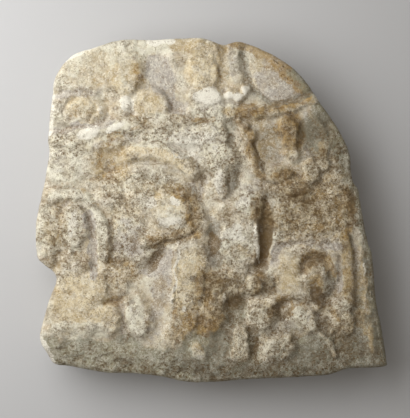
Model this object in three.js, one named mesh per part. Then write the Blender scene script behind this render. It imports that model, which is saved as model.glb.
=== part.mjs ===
// A broken piece of a carved stone tablet, lying on its flat back with the carving facing up.
// Millimetres, +X to the right of the carving, +Y towards its top, +Z out of the stone.
// The tablet is one block: a cloaked rider scene in a niche, worn almost smooth, between a narrow
// upper register and a plain sloping border. Forms are worn soft, so each is a swell, a rounded
// band or a hollow, and the face of the stone is the sum of them.
import * as THREE from 'three'

// ---- driving dimensions
const fieldLevel = 33            // sunk field of the carving above the flat back
const wearLevel = 4.4            // height above the field at which the carving is rubbed flat
const wearShare = 0.6            // share of anything higher than that which has been lost
const patchSteps = 56            // steps along each side of the carved face
const rimWidth = 2.4             // width of the rounded edge of the carved face
const rimDrop = 2.6              // how far the rounded edge falls
const wallBelly = 1.2            // how far the broken wall draws in halfway down
const wallFoot = 4.2             // how far it has drawn in at the back
const wallRipple = 0.9           // unevenness of the break round the back edge
const footBevel = 1.6            // height of the blunted edge next to the back
const grainReach = 1.15          // a grid point takes the mean height of the stone this far round it

// ---- broken outline of the carved face, anticlockwise from the lower left corner
const bottomEdge = [
  [-91, -89], [-80, -90.8], [-62, -94.2], [-45, -94.8], [-30, -96.4], [-14, -99.8],
  [2, -99.8], [22, -98], [45, -97], [68, -95.2], [80, -91.6], [100, -90.5],
]
const rightEdge = [
  [101.8, -86], [99.8, -72], [95.6, -50], [93.7, -26], [91, -18], [87, 3], [85.6, 12],
  [82, 18], [80.6, 32], [77, 42], [69, 55], [63, 63], [56, 74],
]
const topEdge = [
  [45, 85], [31, 93], [17, 98.2], [6, 96.6], [-7, 100.5], [-32, 99.5], [-52, 99], [-66, 95],
]
const leftEdge = [
  [-80, 90], [-90, 78], [-92.5, 63], [-94.6, 42], [-94, 32], [-98, 10], [-101.4, -8],
  [-101, -25], [-97, -31], [-89.6, -38.5], [-94, -52], [-99, -70], [-98.6, -77], [-95, -83],
]

// ---- the kinds of worn form: each takes a place and the height so far, and returns the new height
const forms = []
const { smoothstep, degToRad } = THREE.MathUtils

function ellipseReach(x, y, cx, cy, rx, ry, turn) {
  const angle = degToRad(turn)
  const dx = x - cx
  const dy = y - cy
  const along = dx * Math.cos(angle) + dy * Math.sin(angle)
  const across = dy * Math.cos(angle) - dx * Math.sin(angle)
  return Math.hypot(along / rx, across / ry)
}

function pathThrough(points) {
  const corners = points.map(([x, y]) => new THREE.Vector3(x, y, 0))
  return new THREE.CatmullRomCurve3(corners, false, 'catmullrom').getPoints(points.length * 5)
}

function distanceToPath(x, y, path) {
  let nearest = Infinity
  for (let i = 1; i < path.length; i += 1) {
    const dx = path[i].x - path[i - 1].x
    const dy = path[i].y - path[i - 1].y
    const share = ((x - path[i - 1].x) * dx + (y - path[i - 1].y) * dy) / (dx * dx + dy * dy)
    const t = Math.min(Math.max(share, 0), 1)
    nearest = Math.min(nearest, Math.hypot(x - path[i - 1].x - t * dx, y - path[i - 1].y - t * dy))
  }
  return nearest
}

// a rise lifts the stone to its own top, full in the middle and fading out over its soft edge
function raise(height, reach, top, soft, crown) {
  const cover = 1 - smoothstep(reach, 1 - soft, 1.12)
  return height + cover * Math.max(top * (1 - crown * reach * reach) - height, 0)
}

function lump(cx, cy, rx, ry, top, { turn = 0, soft = 0.5, crown = 0.2 } = {}) {
  forms.push((x, y, height) => {
    const reach = ellipseReach(x, y, cx, cy, rx, ry, turn)
    return reach < 1.12 ? raise(height, reach, top, soft, crown) : height
  })
}

function band(points, halfWidth, top, { soft = 0.55, crown = 0.2 } = {}) {
  const path = pathThrough(points)
  forms.push((x, y, height) => {
    const reach = distanceToPath(x, y, path) / halfWidth
    return reach < 1.12 ? raise(height, reach, top, soft, crown) : height
  })
}

function swell(cx, cy, rx, ry, rise, turn = 0) {
  forms.push((x, y, height) => height + rise * Math.exp(-(ellipseReach(x, y, cx, cy, rx, ry, turn) ** 2)))
}

function hollow(cx, cy, rx, ry, depth, turn = 0) {
  swell(cx, cy, rx, ry, -depth, turn)
}

function furrow(points, halfWidth, depth) {
  const path = pathThrough(points)
  forms.push((x, y, height) => height - depth * Math.exp(-((distanceToPath(x, y, path) / halfWidth) ** 2)))
}

// ---- gentle swells of the ground that the figures grow out of
function carveGround() {
  swell(-78, 30, 24, 14, 2.4)
  swell(-34, 15, 20, 13, 1.8)
  swell(10, 30, 16, 22, 1.6)
  swell(57, -4, 26, 18, 2.0)
  swell(-14, -40, 20, 40, 1.6)
  swell(18, -35, 24, 30, 1.2)
  swell(-75, -30, 30, 30, 1.4)
  swell(38, 78, 22, 18, 1.6)
}

// ---- upper register: a worn mass, a disc, small heads, a bust and a plain curved field
function carveUpperRegister() {
  lump(-68, 83, 29, 17, 4.2, { turn: 12, soft: 0.35, crown: 0.15 })
  lump(-53, 80, 13, 14, 4.8, { soft: 0.4, crown: 0.1 })
  lump(-76, 58, 14, 9.5, 3.0)
  lump(-78, 59, 8, 6.5, 3.8, { soft: 0.6 })
  lump(-90, 57, 6, 10, 2.4)
  lump(-50.5, 62.5, 6.5, 5.5, 3.8)
  lump(-53, 56, 9, 6, 3.2)
  lump(-35, 61.5, 11.5, 10, 3.6)
  lump(-16, 84, 10, 11, 1.8, { soft: 0.8 })
  lump(-4, 80, 11, 13, 4.2, { crown: 0.15 })
  lump(-4, 91, 14, 8, 3.8, { soft: 0.6 })
  band([[6.5, 96], [7, 86], [8, 75]], 3.4, 3.2)
  band([[14, 98], [15, 86], [16.5, 76], [20, 69]], 5.0, 3.8)
  lump(-3, 64.5, 12, 7.5, 5.0, { soft: 0.4, crown: 0.1 })
  lump(14, 66.5, 8.5, 6, 5.0, { soft: 0.4, crown: 0.1 })
  lump(3, 56, 17, 7, 3.8, { soft: 0.6 })
}

// ---- the raised band between the registers, cloak of the rider, and the left ground
function carveDividerAndCloak() {
  band([[-97, 40], [-86, 39.5], [-75, 42], [-64, 45], [-52, 48.5], [-38, 50], [-24, 52], [4, 57]], 6.0, 4.0)
  lump(-66, 46, 13, 4.5, 4.6, { turn: 14 })
  lump(-57, 38, 16, 8, 2.4, { turn: 10, soft: 0.7 })
  band([[14, 57], [24, 58.5], [36, 60], [46, 62], [58, 66]], 4.0, 3.2)
  lump(27, 57.5, 10, 4.5, 4.0)
  band([[-49, 33], [-38, 35], [-28, 32], [-18, 26.5], [-9, 18]], 7.2, 4.4, { crown: 0.3 })
  lump(-43, 34, 12, 6.5, 4.2, { soft: 0.6 })
  band([[-34, 43], [-20, 44], [-6, 44]], 7.5, 3.4)
  lump(-60, 7, 11, 8, 3.2, { soft: 0.6 })
  lump(-44, 20, 10, 6, 2.8, { soft: 0.7 })
  lump(-36, 8, 16, 9, 2.4, { soft: 0.7 })
  lump(-85, 26, 11, 17, 3.0, { soft: 0.6 })
}

// ---- worn figure above the middle and the arm with a torch beside it
function carveMiddleFigure() {
  lump(4, 42, 9.5, 12, 4.6, { soft: 0.45, crown: 0.1 })
  lump(8, 30, 10, 9, 4.8, { soft: 0.45, crown: 0.1 })
  band([[4, 28], [4, 18], [5, 10]], 5.0, 3.6)
  lump(24, 12, 9, 6, 3.0, { soft: 0.7 })
  band([[19, 50], [24, 43], [24.5, 36], [26.5, 29], [30, 22]], 4.2, 3.6)
  lump(20, 48, 4.5, 4, 4.0)
  lump(25, 41.5, 4.5, 5, 4.2)
}

// ---- small bust at the right, with the worn ground below it and the rib of the frame
function carveRightBust() {
  lump(46, 45, 8.2, 9.8, 4.6, { crown: 0.15 })
  lump(47.5, 36, 5.5, 7, 3.8, { soft: 0.6 })
  lump(41, 22, 13, 6.2, 4.2, { turn: 4 })
  lump(57, 21, 7.2, 10.5, 4.6)
  lump(47, 13, 12, 7, 4.0)
  lump(65, 27, 5.5, 6, 3.6)
  lump(65, 36, 5, 6, 2.8)
  lump(72, 16, 7, 12, 2.8, { soft: 0.7 })
  lump(56, -4, 26, 14, 3.8, { soft: 0.45, crown: 0.1 })
  band([[58, 61], [67, 50], [74, 36], [78, 18], [82, -3]], 5, 2.2)
}

// ---- hooded figure in an arched niche at the left
function carveNicheFigure() {
  band([[-100, 2], [-94, 10], [-85, 12], [-76, 10.5], [-69, 4], [-63.5, -7], [-60.5, -20], [-60, -34]], 3.6, 3.2)
  band([[-100, -18], [-97, -3], [-89, 5], [-80, 4.5], [-74, -4]], 5.6, 4.2)
  lump(-96, -20, 8, 16, 3.6)
  lump(-80.5, -8, 7, 13, 5.0)
  lump(-81, -30, 10, 10, 4.4)
  band([[-64.5, -3], [-63, -16], [-62, -30]], 4.4, 3.6)
  lump(-50, -12, 10, 15, 1.8, { soft: 0.8 })
}

// ---- smooth haunch at the lower left with the lobes beside it
function carveHaunch() {
  lump(-77, -54, 19, 20, 5.2, { soft: 0.4, crown: 0.1 })
  lump(-82, -44, 13, 11, 4.6)
  lump(-66, -43, 8, 9, 5.2, { soft: 0.4 })
  lump(-58.5, -63, 7.2, 11, 4.8, { soft: 0.4, crown: 0.15 })
  lump(-53, -43, 8, 8, 3.8)
  lump(-43.5, -60, 7.6, 15, 4.6, { turn: 14, soft: 0.45 })
  lump(-90, -72, 8, 8, 3.6, { soft: 0.6 })
}

// ---- main figure: worn oval body, bent arm and the long leg
function carveMainFigure() {
  band([[-15, -13], [-27, -15.5], [-38, -20], [-47, -28]], 5.2, 4.4)
  band([[-47, -26], [-43, -35], [-38, -41]], 5.0, 3.0)
  lump(-27, -3, 15, 14, 4.2, { soft: 0.7 })
  lump(-24, 1, 12, 14.5, 6.4, { turn: -10, crown: 0.35 })
  lump(-9, -3, 8, 15, 3.6, { turn: 10, soft: 0.6 })
  lump(-12, -26, 10.5, 13, 5.2, { soft: 0.4, crown: 0.15 })
  lump(-13.5, -42, 10, 15, 5.0, { soft: 0.4, crown: 0.15 })
  lump(-16, -60, 9, 16, 4.6, { turn: -6 })
  lump(-21, -73, 8, 11, 3.8, { turn: -10, soft: 0.6 })
  lump(-7, -81, 5.5, 8, 3.2)
  lump(0, -60, 11, 12, 3.4, { soft: 0.6 })
  lump(4, -42, 12, 11, 3.0, { soft: 0.6 })
}

// ---- standing figure right of the middle
function carveStandingFigure() {
  lump(22, 4, 8.5, 9, 5.2)
  lump(17, -6, 12, 10, 5.2, { crown: 0.1 })
  lump(16, -21, 12, 17, 5.4, { soft: 0.35, crown: 0.1 })
  lump(16, -37, 6, 6, 4.2)
  lump(24, -43, 7, 6, 4.0)
  lump(33, -36, 6, 7, 3.6)
}

// ---- round boss in its ring, ribs of the right border and the lobes under the boss
function carveBossAndLobes() {
  lump(53, -36, 18, 18, 4.8, { soft: 0.35, crown: 0.1 })
  band([[35, -42], [34, -31], [38, -21.5], [48, -17.5], [62, -17.5], [72, -23]], 3.0, 3.0)
  band([[75, -16], [78.5, -29], [77.5, -44], [79, -58], [82, -72]], 4.0, 3.8)
  band([[90, -14], [90, -34], [91.5, -52], [94, -70], [98, -86]], 3.6, 2.2)
  lump(74, -57, 7, 12, 3.8)
  lump(54, -62, 7.5, 11.5, 4.6, { turn: 24, soft: 0.45 })
  lump(29, -60, 9, 10.5, 4.4)
  lump(37, -50.5, 6, 4.5, 3.6)
  lump(60, -54, 6, 4.5, 3.6)
  lump(17, -77, 7.5, 14, 4.2)
  lump(39, -78, 12, 10.5, 3.8, { soft: 0.6 })
  lump(26, -77, 4, 5, 2.6)
  band([[60, -69], [67, -76], [74, -88]], 3.0, 2.2)
}

// ---- hollows and furrows that part the figures
function cutHollows() {
  furrow([[-90, 67], [-76, 68.8], [-62, 67.3], [-49, 68.5]], 2.2, 1.6)
  furrow([[-64, 66], [-61.5, 60], [-62, 53]], 2.2, 1.6)
  furrow([[-94, 46], [-84, 47.5], [-72, 49], [-62, 51.5], [-48, 54]], 2.6, 1.8)
  furrow([[-42, 97], [-41.5, 84], [-40.5, 70]], 2.2, 1.5)
  furrow([[-39, 72], [-31, 71], [-25.5, 65], [-24, 57]], 2.0, 1.6)
  furrow([[11, 94], [11, 83], [10, 73]], 2.0, 1.6)
  furrow([[19.5, 93], [20.5, 80], [25, 71], [29.5, 63.5]], 2.0, 2.8)
  furrow([[-40, 40.5], [-30, 39.6], [-20, 36], [-13, 31], [-7.5, 25.5]], 1.8, 1.8)
  furrow([[-70, 19], [-60, 17.8], [-53, 14.5], [-50, 8]], 2.0, 1.3)
  furrow([[-98, 11], [-92, 14.5], [-84, 15.5], [-76, 13.8], [-68.5, 7.5]], 1.8, 1.3)
  furrow([[-90.5, -1], [-88.5, -10], [-88.5, -22]], 2.0, 2.2)
  furrow([[-77, -1], [-72.8, -8], [-72.5, -20], [-71, -32]], 2.0, 3.0)
  furrow([[-69, -8], [-68, -20], [-67, -34]], 2.6, 2.8)
  furrow([[-51.5, -56], [-50.5, -66], [-48.5, -75]], 2.4, 3.6)
  furrow([[-9, 13], [-3, 2], [-1, -12], [1, -24], [2, -34]], 3.0, 1.8)
  furrow([[32, 6], [32.5, -6], [31.5, -18], [29.8, -31]], 3.2, 2.8)
  furrow([[54, -36], [57, -28.5], [63, -26.5], [69.5, -31], [72, -39], [69.5, -49]], 3.2, 4.2)
  furrow([[25, -68], [25.5, -80], [25, -89]], 2.2, 2.2)
  furrow([[84, -14], [83, -32], [83, -50], [85, -66], [87, -84]], 2.6, 2.0)
  hollow(-57, 27, 8, 10, 2.6)
  hollow(-57, -52.5, 6, 3.2, 2.8, 10)
  hollow(-33, -28, 3.6, 8.5, 4.0, -38)
  hollow(-5, 18, 4.5, 7, 2.6)
  hollow(15, 18, 4, 8, 3.0)
  hollow(56, 5, 7, 4, 2.4)
  hollow(38, -55.5, 6.4, 3.6, 3.4)
  hollow(38.5, -62, 3, 4, 2.8)
  hollow(22, -54, 8, 5, 1.6)
  hollow(65, -50, 5, 6, 1.8)
}

carveGround()
carveUpperRegister()
carveDividerAndCloak()
carveMiddleFigure()
carveRightBust()
carveNicheFigure()
carveHaunch()
carveMainFigure()
carveStandingFigure()
carveBossAndLobes()
cutHollows()

// ---- wear and borders
function softLower(a, b, blend = 1.6) {
  return 0.5 * (a + b - Math.hypot(a - b, blend))
}

function rubFlat(height) {
  const over = height - wearLevel
  return height - wearShare * 0.5 * (over + Math.hypot(over, 0.8))
}

// slow unevenness of weathered stone
function unevenness(x, y) {
  const broad = Math.sin(x / 8.3 + 0.7) * Math.cos(y / 7.1 - 0.4)
  const close = Math.sin((x + y) / 3.9) * Math.sin((x - 1.6 * y) / 5.3 + 1.1)
  return 0.28 * broad + 0.24 * close
}

// the lower border slopes away in a plane that starts higher up at the left than at the right
function lowerBorder(x, y) {
  const towardsRight = smoothstep(x, -60, 30)
  const start = -72 - 13 * towardsRight
  return 3.6 - (start - y) * (0.42 + 0.25 * towardsRight)
}

// the right border slopes away from a bowed line that runs down the side
const rightBorderLine = [[-100, 92], [-88, 92], [-40, 86], [0, 80], [62, 58], [101, 34]]
function rightBorder(x, y) {
  const above = rightBorderLine.findIndex(([level]) => level > y)
  const [y0, x0] = rightBorderLine[Math.max(above - 1, 0)]
  const [y1, x1] = rightBorderLine[Math.max(above, 1)]
  const line = x0 + ((x1 - x0) * (y - y0)) / (y1 - y0)
  return 2.6 - (x - line) * 0.55
}

function carvedHeight(x, y) {
  const carved = forms.reduce((height, form) => form(x, y, height), 0)
  const worn = rubFlat(carved) + unevenness(x, y)
  return softLower(softLower(worn, lowerBorder(x, y)), rightBorder(x, y))
}

// mean of the stone round a place, so that nothing finer than the grid shows as steps
function faceLevel(x, y) {
  let sum = 0
  for (const dx of [-grainReach, 0, grainReach]) {
    for (const dy of [-grainReach, 0, grainReach]) {
      sum += carvedHeight(x + dx, y + dy)
    }
  }
  return fieldLevel + sum / 9
}

// ---- outline: a smooth curve through the corners, cut into the four sides of the face
const sides = [bottomEdge, rightEdge, topEdge, leftEdge]
const outlineCorners = sides.flat().map(([x, y]) => new THREE.Vector3(x, y, 0))
const outlineCurve = new THREE.CatmullRomCurve3(outlineCorners, true, 'catmullrom')

function sidePoints(sideIndex) {
  const before = sides.slice(0, sideIndex).flat().length
  const count = sides[sideIndex].length
  const dense = []
  const fineSteps = 400
  for (let i = 0; i <= fineSteps; i += 1) {
    dense.push(outlineCurve.getPoint(((before + (count * i) / fineSteps) / outlineCorners.length) % 1))
  }
  const lengths = [0]
  for (let i = 1; i <= fineSteps; i += 1) {
    lengths.push(lengths[i - 1] + dense[i].distanceTo(dense[i - 1]))
  }
  const points = []
  let reached = 1
  for (let i = 0; i < patchSteps; i += 1) {
    const wanted = (lengths[fineSteps] * i) / patchSteps
    while (lengths[reached] < wanted) reached += 1
    const share = (wanted - lengths[reached - 1]) / (lengths[reached] - lengths[reached - 1])
    points.push(dense[reached - 1].clone().lerp(dense[reached], share))
  }
  return points
}

const outline = sides.flatMap((side, index) => sidePoints(index))
const around = outline.length

// outward direction at each outline point, from the run of the outline a few points either side
const outwardReach = 4
const outward = outline.map((point, i) => {
  const run = outline[(i + outwardReach) % around].clone().sub(outline[(i + around - outwardReach) % around])
  return new THREE.Vector3(run.y, -run.x, 0).normalize()
})

function ring(inset, level) {
  return outline.map((point, i) => {
    const place = point.clone().addScaledVector(outward[i], -inset(i, point))
    place.z = level(i, place)
    return place
  })
}

// ---- rings of the edge, from the carved face down to the back
const rimLevel = outline.map((point, i) => {
  const inner = point.clone().addScaledVector(outward[i], -rimWidth)
  return faceLevel(inner.x, inner.y)
})
const turnShare = (2 * Math.PI) / around
const ripple = (i) => wallRipple * (Math.sin(11 * turnShare * i) + 0.7 * Math.sin(26 * turnShare * i + 2))
const faceRing = ring(() => rimWidth, (i) => rimLevel[i])
const edgeRing = ring(() => 0, (i) => rimLevel[i] - rimDrop)
const bellyRing = ring((i) => wallBelly + 0.4 * ripple(i + 9), () => fieldLevel * 0.42)
const footRing = ring((i) => wallFoot * 0.8 + ripple(i), () => footBevel)
const backRing = ring((i) => wallFoot + footBevel * 0.6 + ripple(i), () => 0)

// ---- vertices and triangles of the block
const vertices = []
const triangles = []

function addVertex(point) {
  vertices.push(point)
  return vertices.length - 1
}

// the carved face: a grid stretched between the four sides of its ring
function faceGrid(border) {
  const n = patchSteps
  const bottom = (u) => border[u]
  const right = (v) => border[n + v]
  const top = (u) => border[3 * n - u]
  const left = (v) => border[(4 * n - v) % around]
  const grid = []
  for (let v = 0; v <= n; v += 1) {
    const row = []
    for (let u = 0; u <= n; u += 1) {
      if (v === 0) row.push(bottom(u))
      else if (v === n) row.push(top(u))
      else if (u === 0) row.push(left(v))
      else if (u === n) row.push(right(v))
      else {
        const s = u / n
        const t = v / n
        const place = new THREE.Vector3()
        place.addScaledVector(vertices[bottom(u)], 1 - t).addScaledVector(vertices[top(u)], t)
        place.addScaledVector(vertices[left(v)], 1 - s).addScaledVector(vertices[right(v)], s)
        place.addScaledVector(vertices[bottom(0)], -(1 - s) * (1 - t))
        place.addScaledVector(vertices[bottom(n)], -s * (1 - t))
        place.addScaledVector(vertices[top(0)], -(1 - s) * t)
        place.addScaledVector(vertices[top(n)], -s * t)
        place.z = faceLevel(place.x, place.y)
        row.push(addVertex(place))
      }
    }
    grid.push(row)
  }
  return grid
}

function addQuad(a, b, c, d) {
  const acrossFirst = vertices[a].distanceTo(vertices[c])
  const acrossSecond = vertices[b].distanceTo(vertices[d])
  if (acrossFirst <= acrossSecond) triangles.push(a, b, c, a, c, d)
  else triangles.push(a, b, d, b, c, d)
}

const rings = [faceRing, edgeRing, bellyRing, footRing, backRing].map((points) => points.map(addVertex))
const grid = faceGrid(rings[0])
for (let v = 0; v < patchSteps; v += 1) {
  for (let u = 0; u < patchSteps; u += 1) {
    addQuad(grid[v][u], grid[v][u + 1], grid[v + 1][u + 1], grid[v + 1][u])
  }
}
for (let level = 1; level < rings.length; level += 1) {
  const upper = rings[level - 1]
  const lower = rings[level]
  for (let i = 0; i < around; i += 1) {
    const next = (i + 1) % around
    addQuad(lower[i], lower[next], upper[next], upper[i])
  }
}
const backMiddle = addVertex(new THREE.Vector3(0, 0, 0))
for (const [i, corner] of rings.at(-1).entries()) {
  triangles.push(backMiddle, rings.at(-1)[(i + 1) % around], corner)
}

// ---- one mesh, centred over its own footprint
const geometry = new THREE.BufferGeometry().setFromPoints(vertices)
geometry.setIndex(triangles)
geometry.computeBoundingBox()
const middle = geometry.boundingBox.getCenter(new THREE.Vector3())
geometry.translate(-middle.x, -middle.y, 0)
geometry.computeVertexNormals()

const stone = new THREE.MeshStandardMaterial({ color: 0xcbb894, roughness: 0.85, metalness: 0 })
stone.name = 'weathered_marble'
const panel = new THREE.Mesh(geometry, stone)
panel.name = 'relief_panel'

const group = new THREE.Group()
group.name = 'stone_relief_panel'
group.add(panel)

export default group
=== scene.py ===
"""Dresses a worn marble relief: one broken block of carved stone, lying on its flat back, carving up.

Lengths are millimetres inside the carving code and metres in Blender. +X is to the right of the
carving, +Y towards its top and +Z out of the stone.
"""
import logging
import math
from dataclasses import dataclass, field
from enum import Enum
from typing import Protocol, Sequence

import bpy
import numpy as np
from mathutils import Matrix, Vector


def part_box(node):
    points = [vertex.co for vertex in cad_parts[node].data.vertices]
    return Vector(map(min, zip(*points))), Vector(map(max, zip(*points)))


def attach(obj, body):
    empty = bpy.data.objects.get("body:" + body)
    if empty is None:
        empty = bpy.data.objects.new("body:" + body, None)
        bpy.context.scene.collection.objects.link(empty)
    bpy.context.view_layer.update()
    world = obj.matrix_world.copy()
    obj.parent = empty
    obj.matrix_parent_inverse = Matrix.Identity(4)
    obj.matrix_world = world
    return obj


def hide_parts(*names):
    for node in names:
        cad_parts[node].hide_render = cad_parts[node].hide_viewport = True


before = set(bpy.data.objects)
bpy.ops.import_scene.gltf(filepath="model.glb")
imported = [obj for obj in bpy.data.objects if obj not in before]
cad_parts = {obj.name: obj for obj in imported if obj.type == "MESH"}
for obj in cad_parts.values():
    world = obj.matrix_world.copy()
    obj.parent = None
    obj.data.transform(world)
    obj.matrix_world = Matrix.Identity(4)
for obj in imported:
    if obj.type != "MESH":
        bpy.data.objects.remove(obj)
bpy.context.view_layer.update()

logging.basicConfig(level=logging.INFO, format="%(message)s")
LOG = logging.getLogger("relief")

MM = 0.001
Point = tuple[float, float]
Path = Sequence[Point]
Colour = tuple[float, float, float]
Array = np.ndarray
Socket = bpy.types.NodeSocket


# ---------------------------------------------------------------- numbers
COLUMN_STEP, ROW_STEP, SEED_STEP, MIXER = 374761393, 668265263, 974711, 1274126177
POSITIVE = 0x7FFFFFFF      # keeps a whole number positive
SIXTEEN_BITS = 0xFFFF


def smoothstep(low: float, high: float, value: Array) -> Array:
    """Eases a value from 0 at one end to 1 at the other.

    Args:
        low: value that gives 0.
        high: value that gives 1.
        value: values to ease.

    Returns:
        The eased values, between 0 and 1.
    """
    share = np.clip((value - low) / (high - low), 0.0, 1.0)
    return share * share * (3.0 - 2.0 * share)


def lattice(column: Array, row: Array, seed: int) -> Array:
    """Gives each corner of a square lattice its own fixed number.

    Args:
        column: whole-number columns.
        row: whole-number rows.
        seed: which set of numbers to use.

    Returns:
        Numbers between 0 and 1.
    """
    mixed = column.astype(np.int64) * COLUMN_STEP + row.astype(np.int64) * ROW_STEP + seed * SEED_STEP
    mixed = ((mixed & POSITIVE) ^ ((mixed & POSITIVE) >> 13)) * MIXER & POSITIVE
    return ((mixed ^ (mixed >> 16)) & SIXTEEN_BITS) / SIXTEEN_BITS


def grain(x: Array, y: Array, size: float, seed: int) -> Array:
    """Smooth noise with grains of about one size.

    Args:
        x: places along the first direction.
        y: places along the second direction.
        size: distance between grains.
        seed: which noise to use; each lies turned its own way.

    Returns:
        Values between -0.5 and 0.5.
    """
    turn = 0.6 + seed
    u = (x * math.cos(turn) - y * math.sin(turn)) / size
    v = (x * math.sin(turn) + y * math.cos(turn)) / size
    column, row = np.floor(u), np.floor(v)
    across, up = smoothstep(0.0, 1.0, u - column), smoothstep(0.0, 1.0, v - row)
    low = lattice(column, row, seed) * (1 - across) + lattice(column + 1, row, seed) * across
    high = lattice(column, row + 1, seed) * (1 - across) + lattice(column + 1, row + 1, seed) * across
    return low * (1 - up) + high * up - 0.5


@dataclass(frozen=True)
class Grain:
    """One layer of smooth noise."""

    amount: float
    size: float
    seed: int

    def at(self, x: Array, y: Array) -> Array:
        """Returns the layer at each place, from minus to plus half its amount."""
        return self.amount * grain(x, y, self.size, self.seed)

    def rise(self, x: Array, y: Array) -> Array:
        """Returns the layer at each place, from 0 to its amount."""
        return self.amount * (0.5 + grain(x, y, self.size, self.seed))


Layers = tuple[Grain, ...]


def layered(layers: Layers, x: Array, y: Array) -> Array:
    """Returns the sum of layers of noise at each place."""
    return sum(layer.at(x, y) for layer in layers)


def curve_through(points: Path, closed: bool = False, steps: int = 6) -> Array:
    """Runs a smooth curve through points.

    Args:
        points: places the curve passes.
        closed: whether the curve joins its own start.
        steps: pieces between two places.

    Returns:
        An array of places along the curve, one row each.
    """
    place = np.array(points, float)
    if closed:
        before, start = np.roll(place, 1, 0), place
        end, after = np.roll(place, -1, 0), np.roll(place, -2, 0)
    else:
        start, end = place[:-1], place[1:]
        before = np.vstack([2 * place[:1] - place[1:2], place[:-2]])
        after = np.vstack([place[2:], 2 * place[-1:] - place[-2:-1]])
    rows = []
    for t in np.arange(steps) / steps:
        rows.append(0.5 * (2 * start + (end - before) * t
                           + (2 * before - 5 * start + 4 * end - after) * t ** 2
                           + (3 * start - before - 3 * end + after) * t ** 3))
    curve = np.stack(rows, 1).reshape(-1, 2)
    return curve if closed else np.vstack([curve, place[-1:]])


def lengths_along(run: Array) -> Array:
    """Returns how far along a path each of its places lies."""
    return np.concatenate([[0.0], np.cumsum(np.hypot(*np.diff(run, axis=0).T))])


def distance_to_path(x: Array, y: Array, path: Array) -> Array:
    """Distance from places to the nearest point of a path.

    Args:
        x: places along X.
        y: places along Y.
        path: corners of the path.

    Returns:
        The distances.
    """
    nearest = np.full(x.shape, np.inf)
    for (x0, y0), (x1, y1) in zip(path[:-1], path[1:]):
        dx, dy = x1 - x0, y1 - y0
        share = np.clip(((x - x0) * dx + (y - y0) * dy) / max(dx * dx + dy * dy, 1e-9), 0.0, 1.0)
        nearest = np.minimum(nearest, np.hypot(x - x0 - share * dx, y - y0 - share * dy))
    return nearest


def ellipse_reach(x: Array, y: Array, centre: Point, radii: Point, turn: float) -> Array:
    """How far places are from an ellipse's middle, where its outline is 1.

    Args:
        x: places along X.
        y: places along Y.
        centre: middle of the ellipse.
        radii: its two half-widths.
        turn: its turn in degrees, anticlockwise.

    Returns:
        The reach of each place.
    """
    angle = math.radians(turn)
    dx, dy = x - centre[0], y - centre[1]
    along = dx * math.cos(angle) + dy * math.sin(angle)
    across = dy * math.cos(angle) - dx * math.sin(angle)
    return np.hypot(along / radii[0], across / radii[1])


# ---------------------------------------------------------------- worn forms
FADE_INSIDE = 0.6       # how far inside its outline a form begins to fade, for each share of softness
FADE_LEAST = 0.25       # width of the fade on the hardest form
FADE_GROWTH = 0.7       # how much wider it gets for each share of softness
FADE_ROUNDING = 0.08    # rounding where the fade begins
CROWN_REACH = 1.2       # reach past which a crown falls no further
FURROW_WEAR = 0.34      # share of a groove's first depth that is still open


class Form(Protocol):
    """Anything that raises or lowers the carved face."""

    def carve(self, x: Array, y: Array, height: Array) -> Array:
        """Returns the height after this form is carved."""
        ...


def raised(height: Array, reach: Array, top: float, soft: float, crown: float) -> Array:
    """Lifts stone to a form's own top, full in the middle and fading over its soft edge.

    Args:
        height: height of the stone so far.
        reach: distance from the form's middle, 1 at its outline.
        top: height of the form's middle.
        soft: share of the form taken by its fading edge.
        crown: how much lower its outline is than its middle.

    Returns:
        The new height.
    """
    past = (reach - 1.0 + FADE_INSIDE * soft) / (FADE_LEAST + FADE_GROWTH * soft)
    past = np.minimum(0.5 * (past + np.hypot(past, FADE_ROUNDING)), 1.0)
    own = top * (1.0 - crown * np.minimum(reach, CROWN_REACH) ** 2)
    return height + (1.0 - past) ** 2 * np.maximum(own - height, 0.0)


@dataclass(frozen=True)
class Lump:
    """A worn swelling of round or oval outline."""

    x: float
    y: float
    rx: float
    ry: float
    top: float
    turn: float = 0.0
    soft: float = 0.5
    crown: float = 0.2

    def carve(self, x: Array, y: Array, height: Array) -> Array:
        """Returns the height with the swelling on it."""
        reach = ellipse_reach(x, y, (self.x, self.y), (self.rx, self.ry), self.turn)
        return raised(height, reach, self.top, self.soft, self.crown)


@dataclass(frozen=True)
class Band:
    """A raised band that follows a path."""

    path: Path
    half_width: float
    top: float
    soft: float = 0.55
    crown: float = 0.2

    def carve(self, x: Array, y: Array, height: Array) -> Array:
        """Returns the height with the band on it."""
        reach = distance_to_path(x, y, curve_through(self.path)) / self.half_width
        return raised(height, reach, self.top, self.soft, self.crown)


@dataclass(frozen=True)
class Swell:
    """A gentle rise of the ground, or a hollow where its rise is negative."""

    x: float
    y: float
    rx: float
    ry: float
    rise: float
    turn: float = 0.0

    def carve(self, x: Array, y: Array, height: Array) -> Array:
        """Returns the height with the rise added."""
        reach = ellipse_reach(x, y, (self.x, self.y), (self.rx, self.ry), self.turn)
        return height + self.rise * np.exp(-reach ** 2)


@dataclass(frozen=True)
class Furrow:
    """A round-bottomed groove that follows a path."""

    path: Path
    half_width: float
    depth: float

    def carve(self, x: Array, y: Array, height: Array) -> Array:
        """Returns the height with the groove cut."""
        reach = distance_to_path(x, y, curve_through(self.path)) / self.half_width
        return height - FURROW_WEAR * self.depth * np.exp(-reach ** 2)


# ---------------------------------------------------------------- the carving, figure by figure
@dataclass(frozen=True)
class Figure:
    """A named part of the carving: the forms it is made of, in the order they are carved."""

    name: str
    forms: tuple[Form, ...]

    def carve(self, x: Array, y: Array, height: Array) -> Array:
        """Carves every form of the figure.

        Args:
            x: places along X.
            y: places along Y.
            height: height so far.

        Returns:
            The height with the figure carved.
        """
        for form in self.forms:
            height = form.carve(x, y, height)
        return height


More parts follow.
